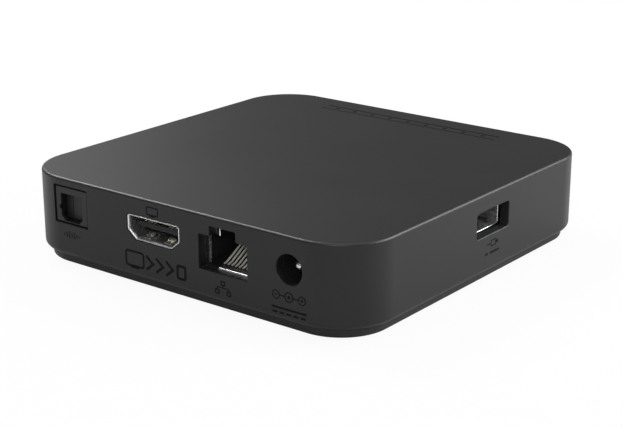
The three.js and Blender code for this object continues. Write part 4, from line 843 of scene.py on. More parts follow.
def bottom_cover():
    """The plinth, its locating rim, the board's standoffs, and everything cut into its underside."""
    base = rounded_box("bottom_cover_shell", PLINTH_INSET, BASE, FLOOR, PLINTH_EDGE_ROUND, 0.08)
    rim = rounded_box("rim", SIDE_WALL + FIT_GAP, FLOOR - 0.5, FLOOR + RIM_HEIGHT, 0.05, 0.3)
    combine(rim, rounded_box("rim_inside", SIDE_WALL + FIT_GAP + RIM_WALL, FLOOR - 1, FLOOR + RIM_HEIGHT + 1,
                             0.05, 0.05))
    combine(base, rim, "UNION")
    standoff = turned("standoff", (
        (STANDOFF_RADIUS + 0.7, FLOOR - 0.5), (STANDOFF_RADIUS + 0.6, FLOOR + 0.3),
        (STANDOFF_RADIUS + 0.1, FLOOR + 1.0), (STANDOFF_RADIUS, BOARD_BOTTOM - 0.3),
        (STANDOFF_RADIUS - 0.2, BOARD_BOTTOM - SEAT_GAP)), flat, steps=32)
    combine(base, at_four_corners("standoffs", standoff, *BOARD_SCREWS), "UNION")
    drill = turned("drill", (
        (1.25, FLOOR + 2.4), (1.25, BOARD_BOTTOM - 0.4), (1.6, BOARD_BOTTOM + 0.2)), flat, steps=20)
    combine(base, at_four_corners("drills", drill, *BOARD_SCREWS))
    pocket = turned("pocket", (
        (FOOT_RADIUS + 0.6, BASE - 1), (FOOT_RADIUS + 0.4, BASE), (FOOT_RADIUS + 0.25, BASE + 0.2),
        (FOOT_RADIUS + 0.25, BASE + 0.8)), flat, steps=48)
    combine(base, at_four_corners("pockets", pocket, *FEET))
    sink = turned("sink", (
        (3.0, BASE - 1), (2.9, BASE), (2.65, BASE + 0.25), (2.65, SCREW_HEAD_TOP), (1.6, SCREW_HEAD_TOP),
        (1.6, FLOOR + 1)), flat, steps=40)
    combine(base, at_four_corners("sinks", sink, *CASE_SCREWS))
    slot = pocket_cutter("slot", *VENT_SIZE, VENT_SIZE[0] / 2, 0, (
        (0.3, BASE - 0.5), (0.3, BASE - 0.02), (0.1, BASE + 0.08), (0.0, BASE + 0.3), (0.0, FLOOR + 1)))
    first = (-VENT_PITCH * (VENTS - 1) / 2, VENT_MIDDLE, 0)
    combine(base, row("slots", slot, VENTS, first, (VENT_PITCH, 0, 0)))
    combine(base, pocket_cutter("recess", LABEL_SIZE[0] + 1, LABEL_SIZE[1] + 1, 0.9, LABEL_MIDDLE, (
        (0.2, BASE - 0.5), (0.2, BASE), (0.0, BASE + 0.12), (0.0, BASE + 0.4))))
    pinhole = turned("pinhole", (
        (1.3, BASE - 0.5), (1.15, BASE), (0.9, BASE + 0.25), (0.9, FLOOR + 1)), flat, *RESET, 24)
    combine(base, pinhole)
    return finished(base, BASE_PLASTIC, ["bottom_cover"])


def feet():
    """Soft discs with a rounded rim and two shallow rings that grip."""
    low, high = extent("foot_2")
    profile = [(FOOT_RADIUS - 0.6, low.z), (FOOT_RADIUS - 0.3, low.z + 0.05),
               (FOOT_RADIUS - 0.08, low.z + 0.2), (FOOT_RADIUS, low.z + 0.42), (FOOT_RADIUS, high.z)]
    rings = [(1e-4, 0.12), (1.0, 0.12), (1.15, 0.0), (2.2, 0.0), (2.35, 0.12), (2.65, 0.12), (2.8, 0.0)]
    levels = [(radius, low.z + rise) for radius, rise in rings] + profile + [(1e-4, high.z)]
    foot = turned("foot", levels, flat, steps=48)
    made = at_four_corners("feet", foot, *FEET)
    clean(made.data)
    finished(made, RUBBER, numbered("foot"))


def screw_body(name, head_radius, head_low, head_high, shank_radius, end, downwards):
    """A pan-head screw with a cross recess and a rolled thread; downwards if its head is on top."""
    head = head_high - head_low
    face, seat = (head_high, head_low) if downwards else (head_low, head_high)
    way = 1 if downwards else -1
    levels = [(1e-4, face), (head_radius * 0.55, face), (head_radius * 0.85, face - way * head * 0.18),
              (head_radius, face - way * head * 0.55), (head_radius, seat), (shank_radius * 0.8, seat)]
    length = abs(end - seat)
    turns = int(length / THREAD_PITCH)
    for i in range(turns):
        z = seat - way * (i + 0.5) * length / (turns + 0.5)
        levels += [(shank_radius, z), (shank_radius * 0.8, z - way * 0.22)]
    levels += [(shank_radius * 0.5, end), (1e-4, end)]
    screw = turned(name, levels, flat, steps=SCREW_STEPS)
    long, wide = head_radius * 1.05, head_radius * 0.2
    deep = face - way * head * 0.55
    for width, height in ((long, wide), (wide, long)):
        cross = lofted("cross", [
            ring(rounded(width * share, height * share, 0.04, steps=2), flat, z)
            for share, z in ((1.1, face + way * 0.5), (1.0, face), (0.75, deep))])
        combine(screw, cross)
    return screw


def screws():
    low, high = extent("case_screw_1")
    case_screw = screw_body("case_screw", 2.3, low.z, low.z + 1.5, 1.25, high.z, False)
    made = at_four_corners("case_screws", case_screw, *CASE_SCREWS)
    finished(made, SCREW_STEEL, numbered("case_screw"))
    low, high = extent("board_screw_1")
    board_screw = screw_body("board_screw", 1.9, high.z - 1.2, high.z, 1.0, low.z, True)
    made = at_four_corners("board_screws", board_screw, *BOARD_SCREWS)
    finished(made, SCREW_STEEL, numbered("board_screw"))


def rating_label():
    """A satin label with plain printed bars in place of its wording."""
    low, high = extent("rating_label")
    sheet = sunk("rating_label_sheet", rounded(*LABEL_SIZE, 0.6, 0, LABEL_MIDDLE), flat,
                 ((low.z, 0), (high.z, 0)))
    finished(sheet, LABEL, ["rating_label"])
    bars = []
    ink = ((low.z - PRINT_PROUD, 0), (low.z, 0))
    for i, (length, middle) in enumerate(LABEL_BARS):
        y = LABEL_FIRST_BAR - LABEL_BAR_PITCH * i
        bars.append(sunk("bar", rounded(length, 0.7, 0.2, middle, y, 2), flat, ink))
    for x in LABEL_RINGS:
        bars.append(ring_sheet("ring", circle(1.8, x, LABEL_RING_LINE, 32), 0.25, flat,
                               low.z - PRINT_PROUD, low.z))
    finished(joined("label_marks", bars), LABEL_INK)


def ring_sheet(name, outline, width, place, near, far):
    """A flat band that follows an outline, between two depths."""
    inner = offset(outline, -width)
    rings = [ring(outline, place, near), ring(outline, place, far), ring(inner, place, far),
             ring(inner, place, near)]
    return lofted(name, rings, joined=True)


def front_pieces():
    """The dark infrared window with its flange, and the status light's pipe."""
    low, high = PORT["front_window"]
    window = sunk("front_window_lens", window_outline(), on_front, (
        (0.1, -0.5), (0.12, -0.25), (0.2, -0.08), (0.4, 0.0), (SIDE_WALL - 0.2, 0.0)))
    back = sunk("window_flange", rounded(high.x - low.x, high.z - low.z, 1.5, 0, WINDOW_Z), on_front,
                ((SIDE_WALL + SEAT_GAP, 0), (high.y + HALF_DEPTH, 0)))
    combine(window, sunk("neck", offset(window_outline(), -0.1), on_front,
                         [(SIDE_WALL - 0.6, 0), (high.y + HALF_DEPTH - 0.3, 0)]), "UNION")
    combine(window, back, "UNION")
    finished(window, WINDOW, ["front_window"])
    low, high = PORT["status_light_pipe"]
    pipe = turned("status_light_lens", (
        (0.4, 0.02), (0.75, 0.06), (0.93, 0.16), (PIPE_RADIUS, 0.35), (PIPE_RADIUS, SIDE_WALL + 0.1),
        (1.9, SIDE_WALL + 0.1), (2.0, SIDE_WALL + 0.2), (2.0, high.y + HALF_DEPTH)),
        on_front, PIPE_X, WINDOW_Z, 32)
    finished(pipe, CLEAR, ["status_light_pipe"])


# ------------------------------------------------------------------ small building blocks for ports
def ribbon(name, path, width, sheet, place, middle=0.0):
    """A strip of sheet metal bent along (depth, height) points, its edges slightly eased."""
    ease = min(sheet, width) * 0.25
    rings = []
    for i, (depth, v) in enumerate(path):
        before = Vector(path[max(i - 1, 0)])
        after = Vector(path[min(i + 1, len(path) - 1)])
        along = (after - before).normalized()
        square = Vector((-along.y, along.x))
        half, thick = width / 2, sheet / 2
        section = [(-half + ease, -thick), (half - ease, -thick), (half, -thick + ease),
                   (half, thick - ease), (half - ease, thick), (-half + ease, thick),
                   (-half, thick - ease), (-half, -thick + ease)]
        rings.append([place(middle + u, v + square.y * t, depth + square.x * t) for u, t in section])
    return lofted(name, rings)


def bent(points, radius, steps=4):
    """An open (depth, height) path with its bends rounded."""
    path = [points[0]]
    for i in range(1, len(points) - 1):
        here = Vector(points[i])
        start = here + (Vector(points[i - 1]) - here).normalized() * radius
        end = here + (Vector(points[i + 1]) - here).normalized() * radius
        for step in range(steps + 1):
            t = step / steps
            point = start * (1 - t) ** 2 + here * 2 * t * (1 - t) + end * t * t
            path.append((point.x, point.y))
    return path + [points[-1]]


def legs(place, middle, reach, depths, top, bottom, sheet, width):
    """Flat legs at both sides of a shell that go down to the board."""
    return [ribbon("leg", [(depth, top), (depth, bottom)], sheet, width, place, middle + side * reach)
            for side in (-1, 1) for depth in depths]


def sheet_tube(name, outline, sheet, place, front, back, edge, flare=None):
    """A drawn tube of sheet metal whose front rim is rounded over, and flared inside."""
    flare = flare or edge
    levels = [(back, 0.0), (front + edge, 0.0)]
    for i in range(1, 5):
        a = math.radians(90 * i / 4)
        levels.append((front + edge * (1 - math.sin(a)), -edge * (1 - math.cos(a))))
    for i in range(1, 5):
        a = math.radians(90 * i / 4)
        levels.append((front + flare * (1 - math.cos(a)), -sheet + (sheet - edge) * (1 - math.sin(a))))
    levels.append((back, -sheet))
    return sunk(name, outline, place, levels, joined=True)


def eased_block(name, width, floor, roof, place, front, back, edge, middle=0.0):
    """A block square to a face, with its upright corners and both ends eased."""
    outline = rounded(width, roof - floor, CORNER_SHARE * edge, middle, (floor + roof) / 2, 4)
    return sunk(name, outline, place, eased_both(front, back, edge))


# ------------------------------------------------------------------ video port
VIDEO_SHEET = 0.45
VIDEO_ROOT = 9.5
VIDEO_BACK = 11.5
VIDEO_TONGUE = (11.9, VIDEO_TOP - 3.0, VIDEO_TOP - 1.75)  # width, underside, top
VIDEO_PITCH = 1.0


def video_port():
    floor = VIDEO_TOP - VIDEO_SIZE[1] + VIDEO_SHEET
    parts = [sheet_tube("video_shell_tube", video_outline(), VIDEO_SHEET, on_rear, 0.1, VIDEO_BACK, 0.15,
                        flare=0.9)]
    for side in (-1, 1):
        for wall, way in ((floor, 1), (VIDEO_TOP - VIDEO_SHEET, -1)):
            path = bent([(1.3, wall - way * 0.05), (1.9, wall - way * 0.02), (3.4, wall + way * 0.85),
                         (4.6, wall + way * 0.12), (6.4, wall + way * 0.4)], 0.35)
            parts.append(ribbon("grip", path, 2.0, 0.22, on_rear, VIDEO_X + side * 3.1))
    parts += legs(on_rear, VIDEO_X, 7.3, (3.0, 9.0), VIDEO_TOP - 4, PORT["video_port_shell"][0].z, 0.35, 1.0)
    finished(joined("video_shell", parts), PORT_STEEL, ["video_port_shell"])

    plug = sunk("video_plug", video_outline(-VIDEO_SHEET - 0.06, 0.95), on_rear,
                [(VIDEO_ROOT, 0), (VIDEO_BACK - 0.1, 0)])
    combine(plug, eased_block("tongue", *VIDEO_TONGUE, on_rear, 2.0, VIDEO_ROOT + 0.4, 0.2, VIDEO_X), "UNION")
    finished(plug, SOCKET, ["video_port_insulator"])

    rows = []
    for count, wall, way in ((10, VIDEO_TONGUE[2], 1), (9, VIDEO_TONGUE[1], -1)):
        path = bent([(VIDEO_ROOT, wall + way * 0.06), (2.7, wall + way * 0.06), (2.15, wall - way * 0.1)],
                    0.15, 2)
        finger = ribbon("finger", path, 0.42, 0.12, on_rear)
        first = (VIDEO_X - VIDEO_PITCH * (count - 1) / 2, 0, 0)
        rows.append(row("video_row", finger, count, first, (VIDEO_PITCH, 0, 0)))
    finished(joined("video_contacts", rows), GOLD, ["video_port_contacts"])


# ------------------------------------------------------------------ network jack
NETWORK_FRONT = 2.3
NETWORK_BACK = 16.3
NETWORK_SHEET = 0.3
NETWORK_DEPTH = 11.2
NETWORK_BASE = BOARD_TOP - 2.2
NETWORK_PITCH = 1.02
NETWORK_ROW = (8, (NETWORK_X - 3.5 * NETWORK_PITCH, 0, 0), (NETWORK_PITCH, 0, 0))
SIDE_SPRING = ((0.0, 2.65), (0.04, 2.8), (0.1, 2.95), (0.12, 3.05))  # bulge, depth


def network_jack():
    low, high = PORT["network_jack_shield"]
    half = (high.x - low.x) / 2
    can = eased_block("network_can", 2 * half, NETWORK_BASE, high.z, on_rear, NETWORK_FRONT, NETWORK_BACK,
                      0.3, NETWORK_X)
    combine(can, eased_block("inside", 2 * (half - NETWORK_SHEET), NETWORK_BASE - 1, high.z - NETWORK_SHEET,
                             on_rear, NETWORK_FRONT + NETWORK_SHEET, NETWORK_BACK - NETWORK_SHEET, 0.15,
                             NETWORK_X))
    combine(can, mouth("network_window", network_outline(0.9, 0.5, 0.3), behind(on_rear, NETWORK_FRONT),
                       1.0, 0.1))
    parts = [can]
    roof = NETWORK_FLOOR + NETWORK_CAVITY[1]
    lip = bent([(NETWORK_FRONT - 0.25, NETWORK_FLOOR - 0.8), (NETWORK_FRONT - 0.25, NETWORK_FLOOR + 0.05),
                (NETWORK_FRONT + 1.3, NETWORK_FLOOR + 0.05)], 0.35)
    parts.append(ribbon("lip", lip, 8.6, 0.2, on_rear, NETWORK_X - 1.5))
    tab = [(NETWORK_FRONT + 0.1, roof + NETWORK_LATCH[1] + 0.2), (NETWORK_FRONT + 0.25, roof + 0.1)]
    parts.append(ribbon("tab", tab, 0.3, 0.25, on_rear, NETWORK_X + 2.7))
    for side in (-1, 1):
        inner = NETWORK_CAVITY[0] / 2 - 0.05
        section = box_outline(0.22, NETWORK_FLOOR + 0.4, NETWORK_FLOOR + 6.5)
        parts.append(lofted("side_spring", [
            [on_rear(NETWORK_X + side * (inner - bulge) + u, v, depth) for u, v in section]
            for bulge, depth in SIDE_SPRING]))
    parts += legs(on_rear, NETWORK_X, half - NETWORK_SHEET / 2, (4.0, 13.0), NETWORK_BASE + 1.5, low.z,
                  NETWORK_SHEET, 1.2)
    finished(joined("network_shield", parts), PORT_STEEL, ["network_jack_shield"])

    clear = NETWORK_SHEET + SEAT_GAP
    housing = eased_block("network_body", 2 * (half - clear), NETWORK_BASE, high.z - clear, on_rear,
                          NETWORK_FRONT + clear, NETWORK_BACK - clear, 0.2, NETWORK_X)
    combine(housing, sunk("cavity", network_outline(radius=0.2), on_rear, [
        (NETWORK_FRONT - 1, 0.1), (NETWORK_FRONT + clear, 0.1), (NETWORK_FRONT + clear + 0.3, 0.0),
        (NETWORK_FRONT + NETWORK_DEPTH, 0.0)]))
    comb = sunk("slot", box_outline(0.62, NETWORK_FLOOR - 0.5, NETWORK_FLOOR + 0.5), on_rear,
                [(NETWORK_FRONT + 1.8, 0), (NETWORK_FRONT + NETWORK_DEPTH - 0.4, 0)])
    combine(housing, row("comb", comb, *NETWORK_ROW))
    finished(housing, SOCKET, ["network_jack_housing"])

    low, high = extent("network_jack_contacts")
    front, back = HALF_DEPTH - high.y, HALF_DEPTH - low.y
    path = bent([(front, low.z - 0.1), (front + 0.9, low.z + 0.1), (back - 1.4, high.z - 0.15),
                 (back - 0.05, high.z - 0.15)], 0.5)
    wire = ribbon("wire", path, 0.46, 0.3, on_rear)
    finished(row("network_contacts", wire, *NETWORK_ROW), PALE_PLATE,
             ["network_jack_contacts"])


# ------------------------------------------------------------------ power jack
POWER_FRONT = 2.5
POWER_DEPTH = 10.5


def power_jack():
    low, high = PORT["power_jack_housing"]
    housing = eased_block("power_body", high.x - low.x, low.z, high.z, on_rear, POWER_FRONT,
                          HALF_DEPTH - low.y, 0.35, POWER_X)
    combine(housing, sunk("bore", circle(POWER_BORE, POWER_X, POWER_Z, 64), on_rear, [
        (POWER_FRONT - 1, 0.08), (POWER_FRONT, 0.08), (POWER_FRONT + 0.1, 0.02),
        (POWER_FRONT + POWER_DEPTH, 0.0)]))
    combine(housing, eased_block("leaf_slot", 3.0, POWER_Z - POWER_BORE - 1.0, POWER_Z - POWER_BORE + 1.0,
                                 on_rear, POWER_FRONT + 2.2, POWER_FRONT + 12.8, 0.1, POWER_X))
    finished(housing, SOCKET, ["power_jack_housing"])
    pin_low, pin_high = extent("power_jack_pin")
    tip = HALF_DEPTH - pin_high.y
    levels = [(1e-4, tip), (0.35, tip + 0.03), (0.68, tip + 0.16), (0.92, tip + 0.42), (1.02, tip + 0.75),
              (1.05, tip + 1.1), (1.05, HALF_DEPTH - pin_low.y)]
    pin = turned("power_pin", levels, on_rear, POWER_X, POWER_Z, 32)
    finished(pin, WIRE, ["power_jack_pin"])
    low, high = extent("power_jack_spring")
    near, far = HALF_DEPTH - high.y, HALF_DEPTH - low.y
    path = bent([(near, low.z + 0.15), (near + 2.0, high.z - 0.15), (near + 4.0, low.z + 0.15),
                 (far, low.z + 0.15)], 0.7)
    finished(ribbon("power_leaf", path, high.x - low.x, 0.3, on_rear, POWER_X), WIRE,
             ["power_jack_spring"])


# ------------------------------------------------------------------ accessory port
ACCESSORY_FRONT = 2.7
ACCESSORY_SHEET = 0.3
ACCESSORY_TONGUE = (11.1, 14.6, 16.44)  # width, underside, top
ACCESSORY_PITCH = 2.25
ACCESSORY_CONTACTS = 4


def accessory_port():
    low, high = PORT["accessory_port_shell"]
    back = HALF_WIDTH + high.x
    parts = [sheet_tube("accessory_tube", accessory_outline(), ACCESSORY_SHEET, on_side, ACCESSORY_FRONT,
                        back, 0.14)]
    floor = ACCESSORY_TOP - ACCESSORY_SIZE[1] + ACCESSORY_SHEET
    for side in (-1, 1):
        path = bent([(ACCESSORY_FRONT + 0.8, floor - 0.08), (ACCESSORY_FRONT + 3.6, floor + 0.55),
                     (ACCESSORY_FRONT + 4.8, floor + 0.2)], 0.5)
        parts.append(ribbon("grip", path, 2.2, 0.2, on_side, ACCESSORY_Y + side * 3.0))
    parts += legs(on_side, ACCESSORY_Y, ACCESSORY_SIZE[0] / 2 - ACCESSORY_SHEET / 2, (5.5, 13.0),
                  floor + 0.5, low.z, ACCESSORY_SHEET, 1.2)
    finished(joined("accessory_shell", parts), PORT_STEEL, ["accessory_port_shell"])

    low, high = extent("accessory_port_insulator")
    tongue_front, back = HALF_WIDTH + low.x, HALF_WIDTH + high.x
    plug = sunk("accessory_plug", accessory_outline(-ACCESSORY_SHEET - 0.08), on_side,
                [(back - 2.5, 0), (back, 0)])
    tongue = eased_block("tongue", *ACCESSORY_TONGUE, on_side, tongue_front, back - 2.2, 0.25, ACCESSORY_Y)
    combine(plug, tongue, "UNION")
    finished(plug, SOCKET, ["accessory_port_insulator"])
    low, high = extent("accessory_port_contacts")
    near, far = HALF_WIDTH + low.x, HALF_WIDTH + high.x
    path = bent([(near, high.z + 0.02), (near + 0.8, high.z - 0.06), (near + 3, high.z - 0.25),
                 (near + 5, high.z - 0.06), (far, high.z - 0.06)], 0.3)
    finger = ribbon("finger", path, 1.0, 0.14, on_side)
    first = (0, ACCESSORY_Y - ACCESSORY_PITCH * (ACCESSORY_CONTACTS - 1) / 2, 0)
    contacts = row("accessory_contacts", finger, ACCESSORY_CONTACTS, first, (0, ACCESSORY_PITCH, 0))
    finished(contacts, GOLD, ["accessory_port_contacts"])


# ------------------------------------------------------------------ optical port
OPTICAL_FRONT = 0.3
OPTICAL_FRAME = 0.8
SOCKET_SIZE = (6.6, 6.4)
SOCKET_FLOOR = BOARD_TOP + 0.9
SOCKET_CHAMFER = 1.2
SOCKET_KEY = 0.5
HINGE_INSET = 2.0  # the hinge's axis, behind the rear wall's face
SHUTTER_FACES = (HINGE_INSET + 0.15, HINGE_INSET + 0.75)
KNUCKLE = ((0.55, 1.9), (0.72, 2.02), (0.75, 2.2), (0.75, 3.3), (0.62, 3.48))
SPRING_COIL = 0.62
SPRING_WIRE = 0.11
SPRING_PITCH = 0.36
SPRING_TURNS = 3
SPRING_STEPS = 24
SPRING_LEG = 0.9


def socket_outline():
    """The plug's window: lower corners cut off, and a key notch in one side."""
    half, floor, roof = SOCKET_SIZE[0] / 2, SOCKET_FLOOR, SOCKET_FLOOR + SOCKET_SIZE[1]
    middle = (floor + roof) / 2
    corners = [(-half + SOCKET_CHAMFER, floor), (half - SOCKET_CHAMFER, floor),
               (half, floor + SOCKET_CHAMFER), (half, middle - SOCKET_KEY),
               (half + SOCKET_KEY, middle - SOCKET_KEY), (half + SOCKET_KEY, middle + SOCKET_KEY),
               (half, middle + SOCKET_KEY), (half, roof), (-half, roof), (-half, floor + SOCKET_CHAMFER)]
    return softened([(OPTICAL_X + u, v) for u, v in corners], 0.22, 3)


def optical_port():
    low, high = PORT["optical_port_housing"]
    floor = OPTICAL_FLOOR + 0.25
    nose = eased_block("optical_nose", high.x - low.x - 0.06, floor, high.z - 0.03, on_rear, OPTICAL_FRONT,
                       SIDE_WALL + 2, 0.22, OPTICAL_X)
    housing = eased_block("optical_body", high.x - low.x, low.z, high.z, on_rear, SIDE_WALL + FIT_GAP,
                          HALF_DEPTH - low.y, 0.2, OPTICAL_X)
    combine(housing, nose, "UNION")
    hinge_low, hinge_high = extent("shutter_hinge_pin")
    hinge_z = (hinge_low.z + hinge_high.z) / 2
    combine(housing, sunk("chamber", box_outline(7.6, SOCKET_FLOOR, hinge_z + 0.9, OPTICAL_X), on_rear,
                          [(OPTICAL_FRONT + OPTICAL_FRAME, 0), (10.3, 0)]))
    combine(housing, mouth("socket", socket_outline(), behind(on_rear, OPTICAL_FRONT), 1.2, 0.14))
    finished(housing, GLOSS, ["optical_port_housing"])
    shutter(hinge_z)
    emitter_low, emitter_high = extent("optical_emitter")
    emitter = eased_block("optical_emitter_body", 6.0, emitter_low.z, emitter_high.z, on_rear,
                          HALF_DEPTH - emitter_high.y + 1.2, HALF_DEPTH - emitter_low.y, 0.3, OPTICAL_X)
    finished(emitter, CLEAR, ["optical_emitter"])


def shutter(hinge_z):
    """A sprung flap with knuckles and grooves, the wire spring that shuts it, and its pin."""
    low, high = extent("optical_port_shutter")
    hinge_y = HALF_DEPTH - HINGE_INSET
    front, back = SHUTTER_FACES
    plate = eased_block("shutter_plate", high.x - low.x, low.z, hinge_z - 0.9, on_rear, front, back, 0.12,
                        OPTICAL_X)
    for side in (-1, 1):
        knuckle = [(radius, OPTICAL_X + side * x) for radius, x in KNUCKLE]
        combine(plate, turned_along_x("knuckle", knuckle, hinge_y, hinge_z, 28), "UNION")
        web = eased_block("web", 1.2, hinge_z - 1.5, hinge_z - 0.1, on_rear, front + 0.03, back - 0.03, 0.08,
                          OPTICAL_X + side * 2.7)
        combine(plate, web, "UNION")
    bore = ((0.5, OPTICAL_X - 5), (0.5, OPTICAL_X + 5))
    combine(plate, turned_along_x("bore", bore, hinge_y, hinge_z))
    combine(plate, eased_block("groove", 0.54, hinge_z - 3.9, hinge_z, on_rear, back - 0.35, back + 1, 0.05,
                               OPTICAL_X + SPRING_LEG))
    combine(plate, eased_block("front_groove", 0.3, low.z + 0.6, hinge_z - 1.2, on_rear, front - 1,
                               front + 0.15, 0.05, OPTICAL_X + 1.3))
    finished(plate, SHUTTER, ["optical_port_shutter"], rides="optical_shutter")

    points = []
    for step in range(SPRING_TURNS * SPRING_STEPS + 1):
        turn = step / SPRING_STEPS
        angle = math.pi / 2 + 2 * math.pi * turn
        points.append((SPRING_PITCH * (turn - SPRING_TURNS / 2), SPRING_COIL * math.cos(angle),
                       SPRING_COIL * math.sin(angle)))
    points += [(0.72, -0.3, 0.55), (0.85, -0.6, 0.0), (SPRING_LEG, -SPRING_COIL, -SPRING_COIL),
               (SPRING_LEG, -SPRING_COIL, -3.5)]
    hinge = Vector((OPTICAL_X, hinge_y, hinge_z))
    spring = swept("shutter_spring_wire", [hinge + Vector(point) for point in points], SPRING_WIRE)
    finished(spring, WIRE, ["shutter_spring"], rides="optical_shutter")
    low, high = extent("shutter_hinge_pin")
    pin = turned_along_x("shutter_pin", ((0.25, low.x), (0.35, low.x + 0.12), (0.35, high.x - 0.12),
                                         (0.25, high.x)), hinge_y, hinge_z)
    finished(pin, WIRE, ["shutter_hinge_pin"])


# ------------------------------------------------------------------ printed signs beside the ports
def stroke(points, width, place, closed=False):
    """A printed line of even width along (u, v) points."""
    path = [Vector(point) for point in points]
    count = len(path)
    left, right = [], []
    for i, here in enumerate(path):
        before = path[i - 1] if (i or closed) else here
        after = path[(i + 1) % count] if (i < count - 1 or closed) else here
        a = (here - before).normalized() if before != here else (after - here).normalized()
        b = (after - here).normalized() if after != here else a
        normal = Vector((-(a + b).y, (a + b).x)).normalized()
        reach = width / 2 / max(0.4, math.sqrt((1 + a.dot(b)) / 2))
        left.append(here + normal * reach)
        right.append(here - normal * reach)
    rings = []
    for one, other in zip(left, right):
        rings.append([place(*one, -PRINT_PROUD), place(*other, -PRINT_PROUD), place(*other, PRINT_ROOT),
                      place(*one, PRINT_ROOT)])
    return lofted("stroke", rings, joined=closed)


def disc(u, v, radius, place):
    return sunk("dot", circle(radius, u, v, 20), place, [(-PRINT_PROUD, 0), (PRINT_ROOT, 0)])


def frame_mark(width, height, u, v, line, place):
    return stroke(rounded(width, height, min(width, height) * 0.15, u, v, 2), line, place, True)


SIGN_FRAMES = (
    # middle and face; then width, height, offset, height of the middle, line
    (VIDEO_X, on_rear, 3.2, 1.7, 0.0, 18.9, 0.3),
    (VIDEO_X, on_rear, 5.2, 3.3, 5.6, 7.1, 0.5),
    (VIDEO_X, on_rear, 2.2, 2.8, -8.0, 7.0, 0.6),
    (NETWORK_X, on_rear, 1.0, 0.8, 0.0, 7.3, 0.28),
    (NETWORK_X, on_rear, 1.0, 0.8, -1.6, 5.3, 0.28),
    (NETWORK_X, on_rear, 1.0, 0.8, 1.6, 5.3, 0.28),
    (ACCESSORY_Y, on_side, 1.9, 1.3, -0.4, 9.4, 0.26),
)
SIGN_LINES = (
    # middle, face, line, then points
    (VIDEO_X, on_rear, 0.25, (-0.8, 17.75), (0.8, 17.75)),
    (VIDEO_X, on_rear, 0.4, (4.4, 5.1), (6.8, 5.1)),
    (VIDEO_X, on_rear, 0.6, (2.2, 8.6), (0.2, 7.0), (2.2, 5.4)),
    (VIDEO_X, on_rear, 0.6, (-0.7, 8.6), (-2.7, 7.0), (-0.7, 5.4)),
    (VIDEO_X, on_rear, 0.6, (-3.6, 8.6), (-5.6, 7.0), (-3.6, 5.4)),
    (NETWORK_X, on_rear, 0.22, (-1.6, 5.8), (-1.6, 6.3), (1.6, 6.3), (1.6, 5.8)),
    (NETWORK_X, on_rear, 0.22, (0.0, 6.9), (0.0, 6.3)),
    (POWER_X, on_rear, 0.24, (-1.1, 8.4), (-2.4, 8.4)),
    (POWER_X, on_rear, 0.24, (1.1, 8.4), (2.4, 8.4)),
    (POWER_X, on_rear, 0.2, (2.9, 8.4), (3.7, 8.4)),
    (POWER_X, on_rear, 0.2, (-3.7, 8.4), (-2.9, 8.4)),
    (POWER_X, on_rear, 0.2, (-3.3, 8.8), (-3.3, 8.0)),
    (POWER_X, on_rear, 0.42, (-4.4, 5.7), (4.4, 5.7)),
    (ACCESSORY_Y, on_side, 0.8, (-1.3, 9.4), (-2.3, 9.4)),
    (ACCESSORY_Y, on_side, 0.26, (0.9, 9.4), (2.3, 9.4)),
    (ACCESSORY_Y, on_side, 0.5, (-2.8, 7.3), (1.0, 7.3)),
    (ACCESSORY_Y, on_side, 0.5, (1.8, 7.3), (2.9, 7.3)),
)
POLES = ((0.0, 1.0, 0.26), (-3.3, 0.9, 0.22), (3.3, 0.9, 0.22))  # offset, radius, line
SOUND_BARS = (0.5, 1.1, 1.7, 1.0, 1.5, 0.8, 0.4)
POLE_HEIGHT = 8.4
SUPPLY_DASHES = 5
DASH_PITCH = 1.8
DASH_HEIGHT = 4.7
SOUND_HEIGHT = 8.3
SOUND_PITCH = 0.8


def port_signs():
    """Plain pictures for each socket: screen, network, supply, sound, plug."""
    marks = [frame_mark(width, height, middle + u, v, line, place)
             for middle, place, width, height, u, v, line in SIGN_FRAMES]
    marks += [stroke([(middle + u, v) for u, v in points], line, place)
              for middle, place, line, *points in SIGN_LINES]
    marks.append(disc(POWER_X, POLE_HEIGHT, 0.38, on_rear))
    for u, radius, line in POLES:
        marks.append(stroke(circle(radius, POWER_X + u, POLE_HEIGHT, 20), line, on_rear, True))
    for i in range(SUPPLY_DASHES):
        u = POWER_X + DASH_PITCH * ((SUPPLY_DASHES - 1) / 2 - i)
        marks.append(stroke([(u + 0.6, DASH_HEIGHT), (u - 0.6, DASH_HEIGHT)], 0.42, on_rear))
    for i, height in enumerate(SOUND_BARS):
        u = OPTICAL_X + SOUND_PITCH * ((len(SOUND_BARS) - 1) / 2 - i)
        marks.append(stroke([(u, SOUND_HEIGHT - height / 2), (u, SOUND_HEIGHT + height / 2)], 0.3, on_rear))
    finished(joined("port_signs", marks), PRINT_INK, sharp_above=20)


STRIP_HALF = 26.0
STRIP_LINES = ((-38.2, 0.4), (-41.0, 0.5))  # place and width
STRIP_DOTS = 9
STRIP_DOT_PITCH = 5.5
STRIP_DOT_LINE = -39.6


def top_strip():
    """The printed lines along the top's front edge, with a row of dots between them."""
    parts = [stroke([(-STRIP_HALF, y), (STRIP_HALF, y)], line, on_top) for y, line in STRIP_LINES]
    for i in range(STRIP_DOTS):
        parts.append(disc(STRIP_DOT_PITCH * (i - (STRIP_DOTS - 1) / 2), STRIP_DOT_LINE, 0.55, on_top))
    finished(joined("top_print", parts), PRINT_INK, sharp_above=20)


